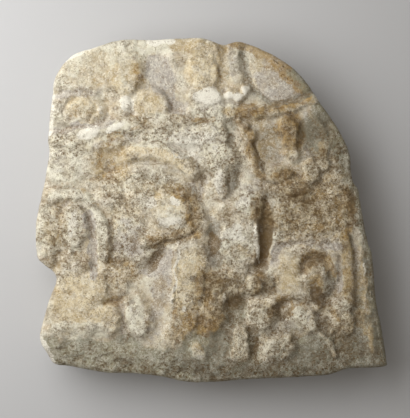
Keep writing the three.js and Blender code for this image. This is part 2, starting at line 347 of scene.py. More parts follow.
GROUND = Figure("ground", (
    Swell(-78, 30, 24, 14, 2.4), Swell(-34, 15, 20, 13, 1.8), Swell(10, 30, 16, 22, 1.6),
    Swell(57, -4, 26, 18, 2.0), Swell(-14, -40, 20, 40, 1.6), Swell(18, -35, 24, 30, 1.2),
    Swell(-74, 70, 26, 10, 2.0), Swell(-52, 70, 12, 10, 1.0), Swell(-75, -30, 30, 30, 1.4),
    Swell(38, 78, 22, 18, 1.6),
))

UPPER_REGISTER = Figure("upper register", (
    Lump(-68, 83, 29, 17, 4.2, 12, 0.35, 0.15), Lump(-52, 79, 13.5, 13.5, 4.8, 0, 0.3, 0.1),
    Lump(-78, 57.8, 15.5, 9.6, 3.6, 0, 0.22, 0.1), Lump(-75.8, 57.6, 8.0, 7.2, 3.9, 0, 0.3, 0.1),
    Lump(-90, 57, 6, 10, 2.4), Lump(-49.3, 62.8, 5.2, 4.8, 4.7), Lump(-53, 57.5, 6.5, 6, 3.8),
    Lump(-34.8, 62, 11.5, 9.6, 4.1, 0, 0.35), Lump(-20, 88, 7, 7, 2.4, 0, 0.7),
    Lump(-4, 81, 10, 13, 4.2, 0, 0.35, 0.15), Lump(-4, 91, 13, 8, 3.8, 0, 0.6),
    Band(((13, 98), (13.5, 86), (15, 77)), 5.5, 2.4, 0.9, 0.1), Lump(-2.5, 65.5, 10.5, 6, 5.2, 0, 0.3, 0.1),
    Lump(11.4, 67, 3.6, 3.4, 5.0, 0, 0.4), Lump(15.6, 66, 3.4, 3.4, 4.8, 0, 0.4),
    Lump(20, 69.4, 3.6, 4.0, 5.0, 0, 0.4), Lump(3, 57, 17, 7, 4.0, 0, 0.6),
))

DIVIDING_BAND = Figure("dividing band", (
    Band(((-97, 40), (-86, 40.5), (-75, 43.5), (-64, 45.5), (-52, 49), (-38, 50.5), (-24, 52), (-10, 54.5),
        (4, 57)), 5.6, 4.0, crown=0.1),
    Lump(-69.7, 45.2, 7.4, 3.0, 4.8, 10, 0.4), Lump(-54.8, 48.6, 5.6, 2.6, 4.6, 12, 0.4),
    Lump(-62, 39.5, 18, 6, 3.4, 10, 0.7, 0.1),
    Band(((10, 57), (22, 57.5), (32, 56.5), (42, 58.6), (58, 64)), 2.8, 3.4, 0.5),
    Lump(26, 56.5, 10, 4.0, 4.2),
))

CLOAK = Figure("flying cloak", (
    Band(((-47, 32.5), (-39, 35.2), (-27, 33), (-17, 28), (-11, 23)), 5.4, 4.2, 0.6, 0.25),
    Lump(-43, 33, 9, 5, 4.2, 0, 0.6), Band(((-34, 43), (-20, 44), (-6, 44)), 7.5, 3.4, 0.5, 0.1),
    Lump(-60, 7, 11, 8, 2.4, 0, 0.9), Lump(-44, 20, 10, 6, 2.6, 0, 0.8), Lump(-36, 8, 16, 9, 2.4, 0, 0.7),
    Lump(-85, 26, 11, 17, 3.0, 0, 0.6),
))

MIDDLE_FIGURE = Figure("middle figure", (
    Lump(2, 42, 8.5, 12, 4.6, 0, 0.4, 0.1), Lump(6, 30, 9, 9, 4.8, 0, 0.4, 0.1),
    Band(((3.5, 28), (4.5, 18), (6, 10)), 4.6, 4.4, 0.4), Lump(24, 12, 9, 6, 3.0, 0, 0.7),
    Band(((16, 51), (20, 46), (22.5, 41), (22, 35), (24.5, 28), (29, 20.5)), 2.8, 4.2, 0.4, 0.3),
    Lump(19, 48.5, 3.2, 3.2, 4.8), Lump(23, 43, 3.6, 4.8, 4.8),
))

RIGHT_BUST = Figure("right bust", (
    Lump(45.2, 49.3, 7.2, 5.8, 4.4, 0, 0.6), Lump(46, 42, 6, 10, 4.6, 0, 0.6),
    Lump(46.5, 34, 5.0, 7, 3.6, 0, 0.6), Lump(38, 20.5, 9.5, 4.8, 4.8, 8, 0.4),
    Lump(57.5, 23, 6.4, 8, 5.2, 0, 0.4), Lump(48, 13.5, 11, 6.5, 4.4), Lump(65, 27, 4.8, 5, 4.2),
    Lump(65, 36, 5, 6, 2.8), Lump(72, 16, 7, 12, 2.8, 0, 0.7), Lump(56, -4, 26, 14, 3.8, 0, 0.45, 0.1),
    Band(((58, 61), (67, 50), (74, 36), (78, 18), (82, -3)), 5, 2.2),
))

NICHE_FIGURE = Figure("niche figure", (
    Lump(-93, -8, 9, 19, 3.6), Lump(-94, -27, 5, 9, 3.4),
    Band(((-98, 4), (-92, 8.4), (-84, 10), (-77, 8), (-70, 2.6), (-65.2, -4.5), (-62.6, -12),
        (-61.8, -26)), 3.9, 3.7, 0.5, 0.1),
    Lump(-79.2, -9.3, 8.2, 14.2, 5.4, 0, 0.3, 0.2), Lump(-79.5, -30, 8.5, 6.5, 4.4),
    Lump(-73.5, -31, 4.0, 5, 4.4),
))

HAUNCH = Figure("haunch", (
    Lump(-77, -54, 19, 20, 5.2, 0, 0.4, 0.1), Lump(-82, -44, 13, 11, 4.6),
    Lump(-66, -43, 8, 9, 5.2, 0, 0.4), Lump(-58.5, -63, 7.2, 11, 4.8, 0, 0.4, 0.15),
    Lump(-53, -43, 8, 8, 3.8), Lump(-42.6, -60.5, 8.2, 14, 4.8, 14, 0.35, 0.12),
    Lump(-90, -72, 8, 8, 3.6, 0, 0.6),
))

MAIN_FIGURE = Figure("main figure", (
    Lump(-22.5, -0.8, 13, 13, 5.0, -10, 0.35, 0.2), Lump(-22.5, -0.8, 10.5, 10.5, 6.8, -10, 0.4, 0.25),
    Band(((-9, -8), (-21, -13), (-31, -16), (-39, -18)), 3.4, 4.2, 0.5), Lump(-7, -5, 6, 13, 3.6, 14, 0.6),
    Lump(-10.5, -27, 9.0, 13, 5.2, 0, 0.3, 0.15), Lump(-12.5, -42, 9.5, 15, 5.2, 0, 0.35, 0.15),
    Lump(-15, -60, 9, 16, 4.8, -6), Lump(-21, -73, 8, 11, 3.8, -10, 0.6),
    Lump(-8, -81, 4.6, 6.5, 3.6, 20, 0.6), Lump(0, -60, 11, 12, 3.4, 0, 0.6),
    Lump(4, -42, 12, 11, 3.0, 0, 0.6), Lump(7, -51, 2.6, 3, 4.6), Lump(16, -44, 5, 5, 3.2),
))

STANDING_FIGURE = Figure("standing figure", (
    Lump(20.4, 4.6, 7.8, 8, 5.4), Lump(26, 1, 5, 9, 4.6, 0, 0.4), Lump(12, 0, 9, 8, 4.4),
    Lump(16, -6, 11.5, 8, 4.8, 0, 0.5, 0.1), Lump(15.5, -20, 12.2, 14, 5.4, 0, 0.22, 0.1),
    Band(((26, -9), (26.4, -19), (25.4, -29)), 1.7, 6.0, 0.4), Lump(16, -36, 6, 6, 4.2),
    Lump(24, -43, 7, 6, 4.0), Lump(33, -36, 6, 7, 3.6), Lump(13, -41, 5, 4, 3.6),
))

BOSS_AND_LOBES = Figure("boss and lobes", (
    Lump(54.5, -36.5, 18.5, 17.5, 5.0, 0, 0.22, 0.1),
    Band(((35, -42), (34, -31), (38, -21.5), (48, -17.5), (62, -17.5), (72, -23)), 2.6, 3.0),
    Band(((76, -14), (78.8, -24), (78.4, -38), (79, -54)), 4.0, 4.2, 0.35),
    Lump(76, -20, 5.5, 7, 4.4, 0, 0.4), Lump(78.5, -33, 4.5, 6, 4.4), Lump(77, -47, 4.6, 6.5, 4.2),
    Lump(80, -66, 3.4, 6, 2.0, 0, 0.7), Band(((90, -14), (89.5, -30), (91, -44)), 3.6, 2.4),
    Lump(92, -52, 5, 9, 2.4), Lump(94, -72, 4, 10, 1.8), Lump(76, -62, 5.6, 10.8, 3.8, 6, 0.6),
    Lump(54, -62, 7.5, 11.5, 4.6, 24, 0.45), Lump(29, -60, 9, 10.5, 4.4), Lump(37, -50.5, 6, 4.5, 3.6),
    Lump(60, -54, 6, 4.5, 3.6), Lump(16.8, -72, 5.0, 7, 4.4, 0, 0.4, 0.1),
    Lump(17, -81, 6.2, 9, 4.2, 0, 0.4, 0.1), Lump(36, -79, 7.5, 8, 3.4, 0, 0.7),
    Lump(42.5, -78.5, 7, 9, 3.2, 0, 0.7), Band(((63, -71.5), (68.5, -76), (72.6, -84)), 1.8, 1.6),
    Lump(70.4, -69.8, 1.8, 2.6, 2.2),
))

HOLLOWS = Figure("hollows and grooves", (
    Furrow(((-92, 66.5), (-76, 69), (-62, 67.6), (-49, 68.5)), 1.4, 2.2),
    Furrow(((-64, 66), (-60.5, 60), (-61, 52)), 1.8, 2.4),
    Furrow(((-66.6, 56), (-67.4, 61.5), (-72, 65.4), (-79, 65), (-84, 60.5), (-84, 55), (-79, 51.4),
        (-71, 51.4), (-66.6, 56)), 0.8, 3.0),
    Furrow(((-94, 45), (-84, 47), (-72, 49.6), (-62, 52.5), (-48, 55)), 2.2, 1.4),
    Furrow(((-42, 97), (-41.5, 84), (-40.5, 70)), 1.8, 0.7),
    Furrow(((-40, 72.5), (-33, 72.4), (-27, 69), (-23.6, 62), (-23, 56)), 1.2, 3.0),
    Furrow(((2.8, 90), (4.6, 82), (5.8, 75)), 1.1, 2.4), Furrow(((-8, 70.5), (0, 71), (7, 67)), 0.7, 1.6),
    Furrow(((18.5, 92), (19.6, 84), (21.6, 75), (26.4, 67.4), (33, 63), (42, 62.4), (51.5, 65),
        (58, 68)), 2.2, 5.0),
    Furrow(((7.5, 69), (8, 60), (8, 44)), 0.9, 1.6),
    Furrow(((-39, 40.6), (-30, 39.4), (-20, 35.8), (-13, 31), (-7.5, 25.5)), 0.7, 1.6),
    Furrow(((-49, 27.5), (-40, 28.3), (-33, 27.8), (-26, 27)), 0.7, 0.6), Swell(-57, 27, 8, 10, -2.6),
    Furrow(((-70, 19), (-60, 17.8), (-53, 14.5), (-50, 8)), 1.5, 1.3),
    Furrow(((-95.4, 9.4), (-90.6, 12.2), (-83.8, 13.6), (-78, 12.2), (-72.2, 7.4), (-66.4, 1.4),
        (-61.2, -5)), 0.8, 3.0),
    Furrow(((-77, 4.6), (-73.4, 2), (-70.6, -4), (-69, -12), (-67.8, -24), (-66.8, -36)), 2.3, 4.8),
    Swell(-87, -24.5, 2.0, 1.6, -1.3), Swell(-79, -24.6, 1.8, 1.5, -1.3),
    Furrow(((-90, -2), (-88.5, -14)), 1.2, 1.4), Furrow(((-57.2, 2), (-56.5, -12), (-56, -28)), 1.3, 1.2),
    Swell(-57, -52.5, 6, 3.2, -2.8, 10), Swell(-65, -54.5, 3.5, 2.5, -0.9),
    Furrow(((-60, -37), (-59.8, -48)), 0.8, 1.6), Furrow(((-78, -38), (-75, -46)), 0.7, 0.9),
    Furrow(((-51.5, -56), (-50.5, -66), (-48.5, -75)), 2.2, 3.6), Swell(-45.1, -53, 1.6, 2.0, -2.2),
    Swell(-31.5, -27.5, 3.4, 8.6, -5.0, -38),
    Band(((-19, -23), (-20.5, -36), (-22.6, -52)), 1.0, 4.4, 0.5, 0.1),
    Furrow(((-7, 9), (-3, 0), (0, -10), (1.5, -22), (3, -33)), 3.0, 3.0), Swell(-5, 18, 3.6, 5, -2.4),
    Swell(15, 18, 3.2, 6.5, -2.6), Furrow(((10.4, 25), (10, 17), (9.6, 11)), 1.2, 3.0),
    Swell(-10, -39, 3.4, 2.4, -1.6, 20), Furrow(((-24.5, -26), (-25.5, -40), (-27, -56)), 2.4, 1.6),
    Furrow(((31, 4), (32, -6), (31.6, -18), (30, -31)), 3.6, 6.4),
    Furrow(((54, -34.5), (56, -29), (60.5, -26.4), (65.5, -28), (69, -34), (69.6, -44)), 3.0, 8.0),
    Lump(60, -37, 4.6, 4.2, 4.8, 0, 0.4), Swell(60, -47, 5, 5, -1.4),
    Furrow(((-31.5, 5.5), (-35, -2), (-37.5, -11), (-43.5, -20)), 0.8, 1.6),
    Furrow(((35.4, -30), (37, -23), (42, -20), (52, -18.8), (66, -19.4), (73.6, -25),
        (74.4, -40)), 1.1, 3.4),
    Furrow(((60, -49), (60, -43)), 1.5, 1.4), Swell(65, -50, 5, 6, -1.8), Swell(56, 5, 7, 4, -2.4),
    Swell(39.5, -57, 6.0, 5.0, -1.4), Lump(35.5, -52.6, 3.0, 2.4, 4.2), Swell(40, -63, 3.4, 4, -2.0),
    Furrow(((50, -52.5), (57, -56.5), (62, -60)), 1.4, 1.8),
    Furrow(((23.5, -69), (24.4, -75), (24.4, -82)), 2.4, 2.8), Swell(20, -52, 8, 5, -1.8),
    Swell(4, -80, 5, 9, -1.4), Swell(11, -58, 5, 9, -1.4),
    Furrow(((84.5, -12), (84, -30), (84.5, -48), (86.5, -62)), 2.6, 1.6),
    Furrow(((86, -64), (90, -84)), 2.2, 1.6), Swell(36, 38, 8, 13, -1.0),
))

CARVING: tuple[Figure, ...] = (
    GROUND, UPPER_REGISTER, DIVIDING_BAND, CLOAK, MIDDLE_FIGURE, RIGHT_BUST, NICHE_FIGURE, HAUNCH,
    MAIN_FIGURE, STANDING_FIGURE, BOSS_AND_LOBES, HOLLOWS,
)


# ---------------------------------------------------------------- stains, painted shade and highlight, and the condition of the stone
class Wash(Enum):
    """What a patch of the surface is stained or worn with, some of it painted shade or highlight; the value
    names its mesh attribute.
    """

    LILAC = "lilac"      # smooth grey-lilac skin kept in sheltered hollows
    IRON = "iron"        # ochre and brown stain
    UMBER_AND_SHADE = "umber_and_shade"      # dark brown crust, and painted shade in hollows and on sides turned from the light
    CHALK_AND_HIGHLIGHT = "chalk_and_highlight"      # white fresh breaks, and painted highlight along the rims that face the light
    BLEACH_AND_HIGHLIGHT = "bleach_and_highlight"    # pale greenish skin, washed out by weather, and in places painted highlight on shaded sides
    PATINA = "patina"    # thin golden-brown film
    MOSS_AND_SHADE = "moss_and_shade"        # grey-green bloom on the lower border; on the right border and right side, painted shade
    CREAM = "cream"      # yellow-cream worn skin
    SOIL_AND_SHADE = "soil_and_shade"        # grey-brown soil film in sheltered places, and painted shade in hollows and at the lower right
    ROUGH = "rough"      # deeply pitted stone
    SLEEK = "sleek"      # stone with hardly any pitting


CONDITIONS = (Wash.ROUGH, Wash.SLEEK)
STAINS = tuple(wash for wash in Wash if wash not in CONDITIONS)


@dataclass(frozen=True)
class Patch:
    """An oval patch, whole up to just over half its half-widths and gone a third past them."""

    x: float
    y: float
    rx: float
    ry: float
    strength: float = 1.0
    turn: float = 0.0

    def cover(self, x: Array, y: Array) -> Array:
        """Returns how strongly the patch covers each place, from 0 to 1."""
        reach = ellipse_reach(x, y, (self.x, self.y), (self.rx, self.ry), self.turn)
        return self.strength * (1.0 - smoothstep(0.55, 1.35, reach))


@dataclass(frozen=True)
class Streak:
    """A long patch that follows a path."""

    path: Path
    half_width: float
    strength: float = 1.0

    def cover(self, x: Array, y: Array) -> Array:
        """Returns how strongly the streak covers each place, from 0 to 1."""
        reach = distance_to_path(x, y, curve_through(self.path)) / self.half_width
        return self.strength * (1.0 - smoothstep(0.45, 1.4, reach))


WASHES: dict[Wash, tuple[Patch | Streak, ...]] = {
    Wash.LILAC: (
        Patch(-29, 78, 9, 15, 1.0, 18), Patch(-80, 68, 20, 3, 0.6, 4),
        Streak(((-26, 72), (-22, 62), (-20, 57)), 4, 0.9), Patch(42, 76, 17, 17, 1.0, -30),
        Patch(36, 38, 9, 14), Patch(57, 42, 6, 9), Streak(((-66, 37), (-56, 40), (-46, 42)), 3, 0.5),
        Streak(((-70.5, -2), (-69.5, -18), (-67, -38)), 3.0), Patch(-48, -20, 10, 6, 0.6),
        Patch(-28.5, -42, 6, 17, 1.0, -8), Streak(((-40, -36), (-30, -33), (-22, -25)), 3, 0.8),
        Patch(-47, -12, 8, 12, 0.5), Patch(3, -22, 4, 16, 0.6), Patch(-33, -66, 6, 12, 0.5),
        Streak(((36, -30), (40, -20), (52, -17), (66, -18), (76, -22)), 3.2),
        Streak(((73.5, -30), (74, -46)), 2.0), Patch(44, -68, 5, 7, 0.6), Patch(62, 54, 8, 10, 0.6, -50),
        Streak(((84, -20), (83, -50), (87, -84)), 2.4, 0.7), Patch(76, 32, 5, 20, 0.6, 12),
        Streak(((88, 0), (92, -20), (93, -40)), 3, 0.5), Patch(-8, 12, 6, 8, 0.6),
        Streak(((8, 12), (30, 16), (34, 10)), 4, 0.5), Streak(((11, 95), (12, 80)), 4, 0.5),
        Streak(((-93, 46), (-75, 48.5), (-57, 52)), 2.0, 0.9), Patch(1, -52, 4, 3, 0.9),
    ),
    # painted shade: many soil patches sit in hollows and along the lower right, darkening where shade falls
    Wash.SOIL_AND_SHADE: (
        Patch(3, -20, 4, 14, 0.9), Patch(84, -70, 10, 16, 0.5), Patch(36, 38, 9, 14, 0.5),
        Streak(((19, 90), (20.5, 78), (26, 68), (34, 63), (44, 62.5), (57, 67)), 2.0, 0.7),
        Patch(11, 41, 4, 6, 0.7), Patch(53.5, 45, 2.6, 8, 0.8), Patch(61, 46, 7, 13), Patch(10, -46, 11, 8),
        Patch(30, -42, 10, 7, 0.8), Patch(8, -70, 5, 14), Patch(66, -68, 6, 9, 0.7, 20),
        Patch(44, -70, 7, 8, 0.6), Patch(54, 4, 24, 7, 0.5), Patch(40, -4, 7, 12, 0.5),
        Patch(66, -8, 10, 6, 0.2), Streak(((-4, -94), (20, -95), (50, -92), (80, -89), (96, -86)), 8, 0.8),
        Patch(16, -56, 6, 8, 0.7), Patch(-49, -75, 6, 3, 0.6), Patch(56, -82, 20, 7, 0.8),
        Patch(80, -78, 12, 8, 0.7), Patch(0, -84, 14, 5, 0.6), Streak(((94, -60), (98, -80)), 5, 0.8),
        Streak(((57, -44), (62, -38)), 6, 0.4), Streak(((28, 58), (42, 60.5), (58, 65)), 4, 0.25),
        Patch(12, 14, 6, 6, 0.5), Streak(((78, -16), (78, -50)), 4, 0.7),
        Streak(((92, -30), (97, -60), (99, -84)), 5, 0.6), Patch(-10, 12, 4, 6, 0.6),
        Patch(40, 10, 8, 4, 0.7), Patch(-12, -90, 16, 5, 0.5), Patch(34, 20, 5, 4, 0.4),
        Patch(66, 34, 8, 10, 0.4), Patch(68, -43, 5, 7, 0.9), Patch(86, -30, 4, 26, 0.35),
        Patch(15, 18, 3.4, 7), Patch(2, -18, 5, 12, 0.8), Patch(13, -51, 8, 7), Patch(3, -76, 6, 10),
    ),
    Wash.PATINA: (
        Patch(35, 38, 9, 14, 0.7), Patch(-30, -48, 6, 14, 0.6), Patch(42, 78, 20, 14, 0.45, -34),
        Patch(66, 46, 14, 18, 0.9), Patch(50, 16, 20, 14, 0.7), Patch(74, 8, 12, 22, 0.6),
        Patch(54, -6, 24, 12, 0.85), Patch(88, -50, 10, 40, 0.7), Patch(-12, 84, 5, 12, 0.4),
        Patch(6, 82, 4, 14, 0.5), Patch(-74, 60, 12, 8, 0.45), Patch(-45, 78, 4, 12, 0.5),
        Patch(-58, 27, 14, 12, 0.7), Patch(-40, 14, 20, 6, 0.3),
        Streak(((-30, 13), (-19, 14), (-11, 4), (-9, -12)), 4), Patch(-4, -44, 7, 16, 0.8),
        Patch(-6, -66, 16, 16, 0.9), Patch(10, -46, 18, 12, 0.7), Patch(45, -37, 9, 13, 0.5),
        Patch(26, 44, 10, 16, 0.6), Patch(56, -66, 34, 12, 0.3), Patch(-52, -38, 12, 10, 0.6),
        Patch(-90, -14, 8, 22, 0.6), Patch(-78, -54, 20, 20, 0.35), Patch(26, 1, 5, 9, 0.5),
        Streak(((10, 56.5), (30, 57.5), (56, 65)), 4, 0.8), Patch(-42, 52, 5, 4, 0.6),
        Patch(-66, 36, 8, 4, 0.5), Streak(((-22, 96), (-6, 96), (5, 94)), 4, 0.9), Patch(45.5, 44, 8.5, 12),
        Patch(14, -25, 8, 6, 0.5), Patch(-62, 82, 26, 14, 0.5), Patch(-34, 62, 11, 8, 0.5),
        Patch(-24, 6, 8, 6, 0.4), Patch(-13, -42, 7, 15, 0.4), Patch(60, -40, 5.5, 5, 0.9),
        Streak(((77, -14), (78.5, -30), (78.5, -48)), 3.6, 0.9), Patch(94, -72, 6, 12, 0.9),
    ),
    Wash.IRON: (
        Streak(((-47, 47.5), (-33, 48.5)), 1.8, 0.5), Streak(((-10, 50), (2, 53)), 2.4, 0.8),
        Patch(-58, 27, 12, 9, 0.5), Streak(((-69, 18), (-58, 18.5), (-50, 12)), 2.0, 0.6),
        Streak(((-97, 12), (-85, 15), (-70, 9), (-60, -8), (-57, -30)), 1.8, 0.6),
        Streak(((-19, 11), (-13, 5), (-12, -5), (-8, -12)), 3.0),
        Streak(((-12, -9), (-24, -15), (-36, -18)), 3.0, 0.55),
        Streak(((-34, 10), (-24, 15), (-12, 12)), 2.4, 0.5), Patch(-76, 58, 9, 6, 0.45),
        Patch(-36, 62, 10, 7, 0.3), Streak(((-44, 90), (-42, 78), (-42, 70)), 3.0, 0.55),
        Patch(-7, 78, 7, 7, 0.35), Streak(((6, 92), (6, 78)), 2.4, 0.5),
        Streak(((-22, 95), (-6, 96), (4, 94)), 3, 0.35),
        Streak(((16, 57), (24, 57.5), (38, 60.5), (56, 65)), 3.4, 0.9),
        Streak(((12, 98), (30, 91), (43, 82), (53, 72)), 3.6), Patch(44, 81, 5, 5, 0.6),
        Patch(20, 58.5, 7, 3, 0.6), Patch(40, 48, 4, 5, 0.5), Patch(34, 82, 5, 8, 0.45),
        Streak(((16, 51), (22.5, 42), (22, 35), (29, 21)), 3.0), Patch(46, 46, 8.4, 11.5),
        Patch(46, 48, 7, 8), Patch(66, 40, 14, 14, 0.5, -60), Patch(44, 18, 10, 6, 0.8),
        Patch(54, 9, 12, 6, 0.6), Patch(76, 6, 4, 8, 0.7), Patch(27, 1, 5, 8, 0.6),
        Patch(57, -4, 20, 7, 0.5), Patch(22, 30, 7, 8, 0.5), Patch(-2, -44, 10, 9, 0.8),
        Patch(-1, -64, 10, 9), Patch(-5, -60, 10, 12, 0.5), Patch(-19, -68, 5, 14, 0.7),
        Patch(-57, -52, 7, 4, 0.9), Patch(-46, -33, 7, 6, 0.4), Patch(-90, -58, 7, 20, 0.3),
        Patch(-96, -14, 3, 14, 0.4), Streak(((90, -40), (95, -58), (99, -84)), 3, 0.3),
        Patch(-57.5, 42, 10, 2.8, 0.7, 8), Patch(60, -45, 5, 7, 0.8),
        Streak(((76, -4), (78.5, -24), (78.5, -50)), 3, 0.45),
        Streak(((66, -52), (72, -66), (80, -78)), 5, 0.5), Patch(46, -56, 12, 8, 0.4),
        Streak(((31, 2), (31.8, -10), (30, -28)), 4),
        Streak(((54, -32), (57.5, -28), (62.5, -27), (67, -30), (69, -36)), 4.8),
        Streak(((54, -32), (57.5, -28), (62.5, -27), (67, -30)), 4.4), Patch(38, -57, 8, 6, 0.6),
        Patch(30, -42, 9, 7, 0.7), Streak(((77, 13), (79.6, 4), (81, -6), (80, -15)), 3.0, 0.8),
        Patch(41.5, 19.5, 7, 4.6), Patch(49, 9.5, 6, 4.6, 0.8), Patch(28.6, -2.5, 3.4, 7, 0.7),
        Streak(((-16, 11), (-10, 1), (-8, -10), (-20, -15), (-34, -19)), 4.0, 0.75),
        Patch(-2, -44, 9, 7, 0.6), Patch(-44, 78, 4, 7, 0.45),
    ),
    # partly painted shade: many umber patches sit in hollows and darken them beyond their stain
    Wash.UMBER_AND_SHADE: (
        Patch(46, 45, 8, 11, 0.2), Streak(((-14.5, 6), (-12.5, -2), (-11, -9)), 1.4, 0.5),
        Streak(((-1.5, -18), (0, -28)), 1.4, 0.6),
        Streak(((30.5, 4), (32, -6), (31.4, -18), (29.6, -31)), 4.6),
        Streak(((31.6, -2), (31.6, -24)), 4.2, 0.9), Streak(((54, -31), (58, -27.5), (64, -28)), 2.6, 0.62),
        Patch(60, -47, 4, 5, 0.7), Patch(38, -58, 7, 6, 0.55), Patch(-32.5, -28.5, 3.4, 8, 0.9, -38),
        Streak(((-34, 40), (-26, 38), (-18, 34.5), (-12, 29.5), (-8, 24.5)), 0.9, 0.7),
        Patch(-5, 18, 3.2, 5, 0.6),
        Streak(((-90.6, 12.2), (-83.8, 13.6), (-78, 12.2), (-72.2, 7.4), (-66.4, 1.4)), 0.6, 0.6),
        Streak(((-45, 28), (-36, 28.4), (-28, 27.2)), 0.6, 0.6),
        Streak(((25, 40), (26, 34), (30, 23)), 1.4, 0.8), Patch(57, 6, 7, 3, 0.7),
        Patch(31, -42, 9, 6, 0.3), Patch(3, -40, 10, 6, 0.7), Patch(-10.5, 0, 2, 8, 0.2),
        Streak(((25.5, -68), (26, -86)), 1.8, 0.7), Patch(-10, -39, 4, 3, 0.7),
        Streak(((-51, -58), (-50, -66), (-48, -74)), 1.2, 0.6), Patch(64, -52, 6, 4, 0.6),
        # painted shade: this streak darkens the right side of the right bust's head, which faces away from
        # the light
        Streak(((52.5, 52), (53.4, 44), (51.4, 35)), 1.4, 0.35),
        Streak(((77.5, 13), (80, 4), (81.5, -6), (80.5, -15)), 1.6, 0.5), Patch(41.5, 19.5, 6, 3.6, 0.45),
        Patch(49, 9.5, 5, 3.6, 0.9), Patch(28.6, -2.5, 2.4, 6, 0.6), Patch(44, 11, 6, 3, 0.6),
        Streak(((19, 92), (20, 80), (25, 71), (29, 65)), 0.8, 0.5), Patch(72, 4, 7, 6, 0.3),
        Patch(27.5, 1, 1.4, 6, 0.3), Patch(47.5, 42, 5, 8.5, 0.3), Patch(11, 41, 3, 5, 0.5),
        Patch(46, -4, 4, 5, 0.6), Patch(56, -9, 4, 3, 0.5), Patch(54, -2, 4, 4, 0.55),
        Patch(62, 2, 4, 3, 0.6), Patch(66, -12, 6, 2.4, 0.4), Patch(80.5, 6, 2, 7, 0.7),
        Patch(1.5, -18, 3, 9, 0.8), Streak(((-14, 9), (-10, 1), (-8.6, -9)), 2.6, 0.25),
        Patch(13, -51, 8, 7, 0.55), Patch(3, -78, 5, 8, 0.4), Patch(0, -42, 6, 5, 0.6),
        Patch(-1, -64, 6, 6, 0.4), Patch(94, -75, 5, 9, 0.35),
    ),
    Wash.CHALK_AND_HIGHLIGHT: (
        Patch(7, -51, 1.8, 2.4, 0.75), Streak(((-74, 44.4), (-70, 45.2), (-67, 45.8)), 2.8),
        Streak(((-57, 47.8), (-51.5, 49)), 2.4), Streak(((-8, 66.5), (-1, 68), (6, 65)), 3.8),
        Patch(0, 64, 7, 3.4), Patch(11, 67.4, 2.8, 2.8), Patch(15.6, 66.4, 2.6, 2.6, 0.9),
        Patch(20.4, 69.6, 2.8, 3.4), Patch(-2, 59, 7, 3, 0.5), Patch(-49.4, 62.6, 5.2, 4.6),
        Patch(-70, 45.1, 6, 3.2, 1.0, 12), Patch(-54, 48.6, 5, 2.8, 1.0, 12),
        Streak(((-65, 65), (-64, 60), (-64.6, 55)), 1.6, 0.35), Patch(-23, -6.4, 7, 3.8, 0.95, 8),
        Patch(-21, 6.4, 2.8, 2.4, 0.9), Patch(-35.5, 5.4, 4, 4, 0.7),
        Streak(((-19, -23), (-20.5, -36), (-22.6, -52)), 0.9, 0.8),
        Streak(((26.2, -9), (26.6, -19), (25.8, -29)), 1.2, 0.7), Patch(-14, 42, 14, 5, 0.6),
        Patch(5.4, 18, 2.8, 7), Patch(-14, 37, 12, 8, 0.55), Patch(19, 6, 3.4, 3.4, 0.8),
        # painted highlight: the streaks along the lower left corner, the left rim and the top rim whiten
        # edges that face the light
        Patch(14, -13.5, 8, 5, 0.75), Streak(((-98.6, -74), (-97, -80), (-92.6, -85.5), (-90.5, -89)), 2.2),
        Streak(((-98, -77), (-93.5, -84.5)), 1.8),
        Streak(((-94.5, 30), (-94.4, 45), (-92.6, 63), (-90, 77), (-81, 89), (-66, 95)), 1.3, 0.9),
        Streak(((-35, 98), (-30, 98), (-24, 98.4)), 2.6, 0.9),
        Streak(((-52, 99), (-30, 99.6), (-6, 100)), 0.9, 0.45),
        Streak(((-5, 69), (0, 67.5), (5.6, 63.6)), 3.0), Patch(-62.6, 59, 1.4, 4, 0.2),
        Patch(1.5, 41, 6, 8, 0.35), Patch(-88, 30, 6, 10, 0.45), Patch(-3, 50, 6, 3, 0.4),
        Patch(18, 5, 4, 5, 0.6), Streak(((88.8, -31), (88.8, -39)), 0.7, 0.7),
        Patch(-43, -58, 5, 9, 0.35, 14), Patch(-8, -82, 3, 4, 0.5), Patch(-15, -56, 2.4, 3.4, 0.6),
        Patch(-80, -7, 3.4, 8, 0.75), Patch(-52, -14, 4, 8, 0.5), Patch(56, -62, 4, 5, 0.5),
        Patch(4, 42, 6, 6, 0.25),
    ),
    # partly painted highlight: some bleach patches lighten places on the shaded side of forms, such as the
    # right side of the niche arch
    Wash.BLEACH_AND_HIGHLIGHT: (
        Patch(23, 4, 5, 5), Patch(76, -59, 5.6, 8),
        Streak(((-92, 74), (-80, 86), (-60, 92), (-30, 96), (-6, 96)), 6, 0.8),
        Streak(((-45, 41), (-25, 44), (-5, 46)), 6, 0.9), Patch(4, 36, 10, 16), Patch(-86, 28, 12, 13, 0.9),
        Patch(-84, 38, 16, 6, 0.8), Patch(-25, 0, 10, 12, 0.5), Patch(15, -19, 11, 12, 0.8),
        Patch(-16, 41, 20, 8, 0.9), Patch(-50, -12, 8, 12, 0.6),
        Streak(((-98, -22), (-96, -4), (-90, 7), (-80, 11), (-70, 6)), 4, 0.9), Patch(-40, 16, 24, 7, 0.7),
        Patch(4, 56, 12, 4, 0.6), Patch(-66, 84, 24, 13, 0.45), Patch(-4, 86, 9, 12, 0.3),
        Patch(-74, 60, 9, 6, 0.5), Patch(46, 12, 8, 4, 0.5), Patch(-43.5, -60, 7, 14, 0.8, 14),
        Patch(-80.5, -10, 6, 14), Patch(-92, -12, 4, 14, 0.9), Streak(((-64, -2), (-62, -26)), 2.6, 0.9),
        Patch(16, 10, 8, 8, 0.6), Patch(20, 4, 6, 6, 0.8), Patch(16.6, -77, 6, 13, 0.6),
        Patch(-8, -82, 5, 7, 0.9), Patch(21.5, -44.5, 3.4, 3.8, 0.8), Patch(54, -63, 7, 9, 1.0, 24),
        Patch(28, -61, 7.5, 9, 0.6), Streak(((-76, 7), (-68, 0), (-64, -10), (-63, -24)), 3.4, 0.9),
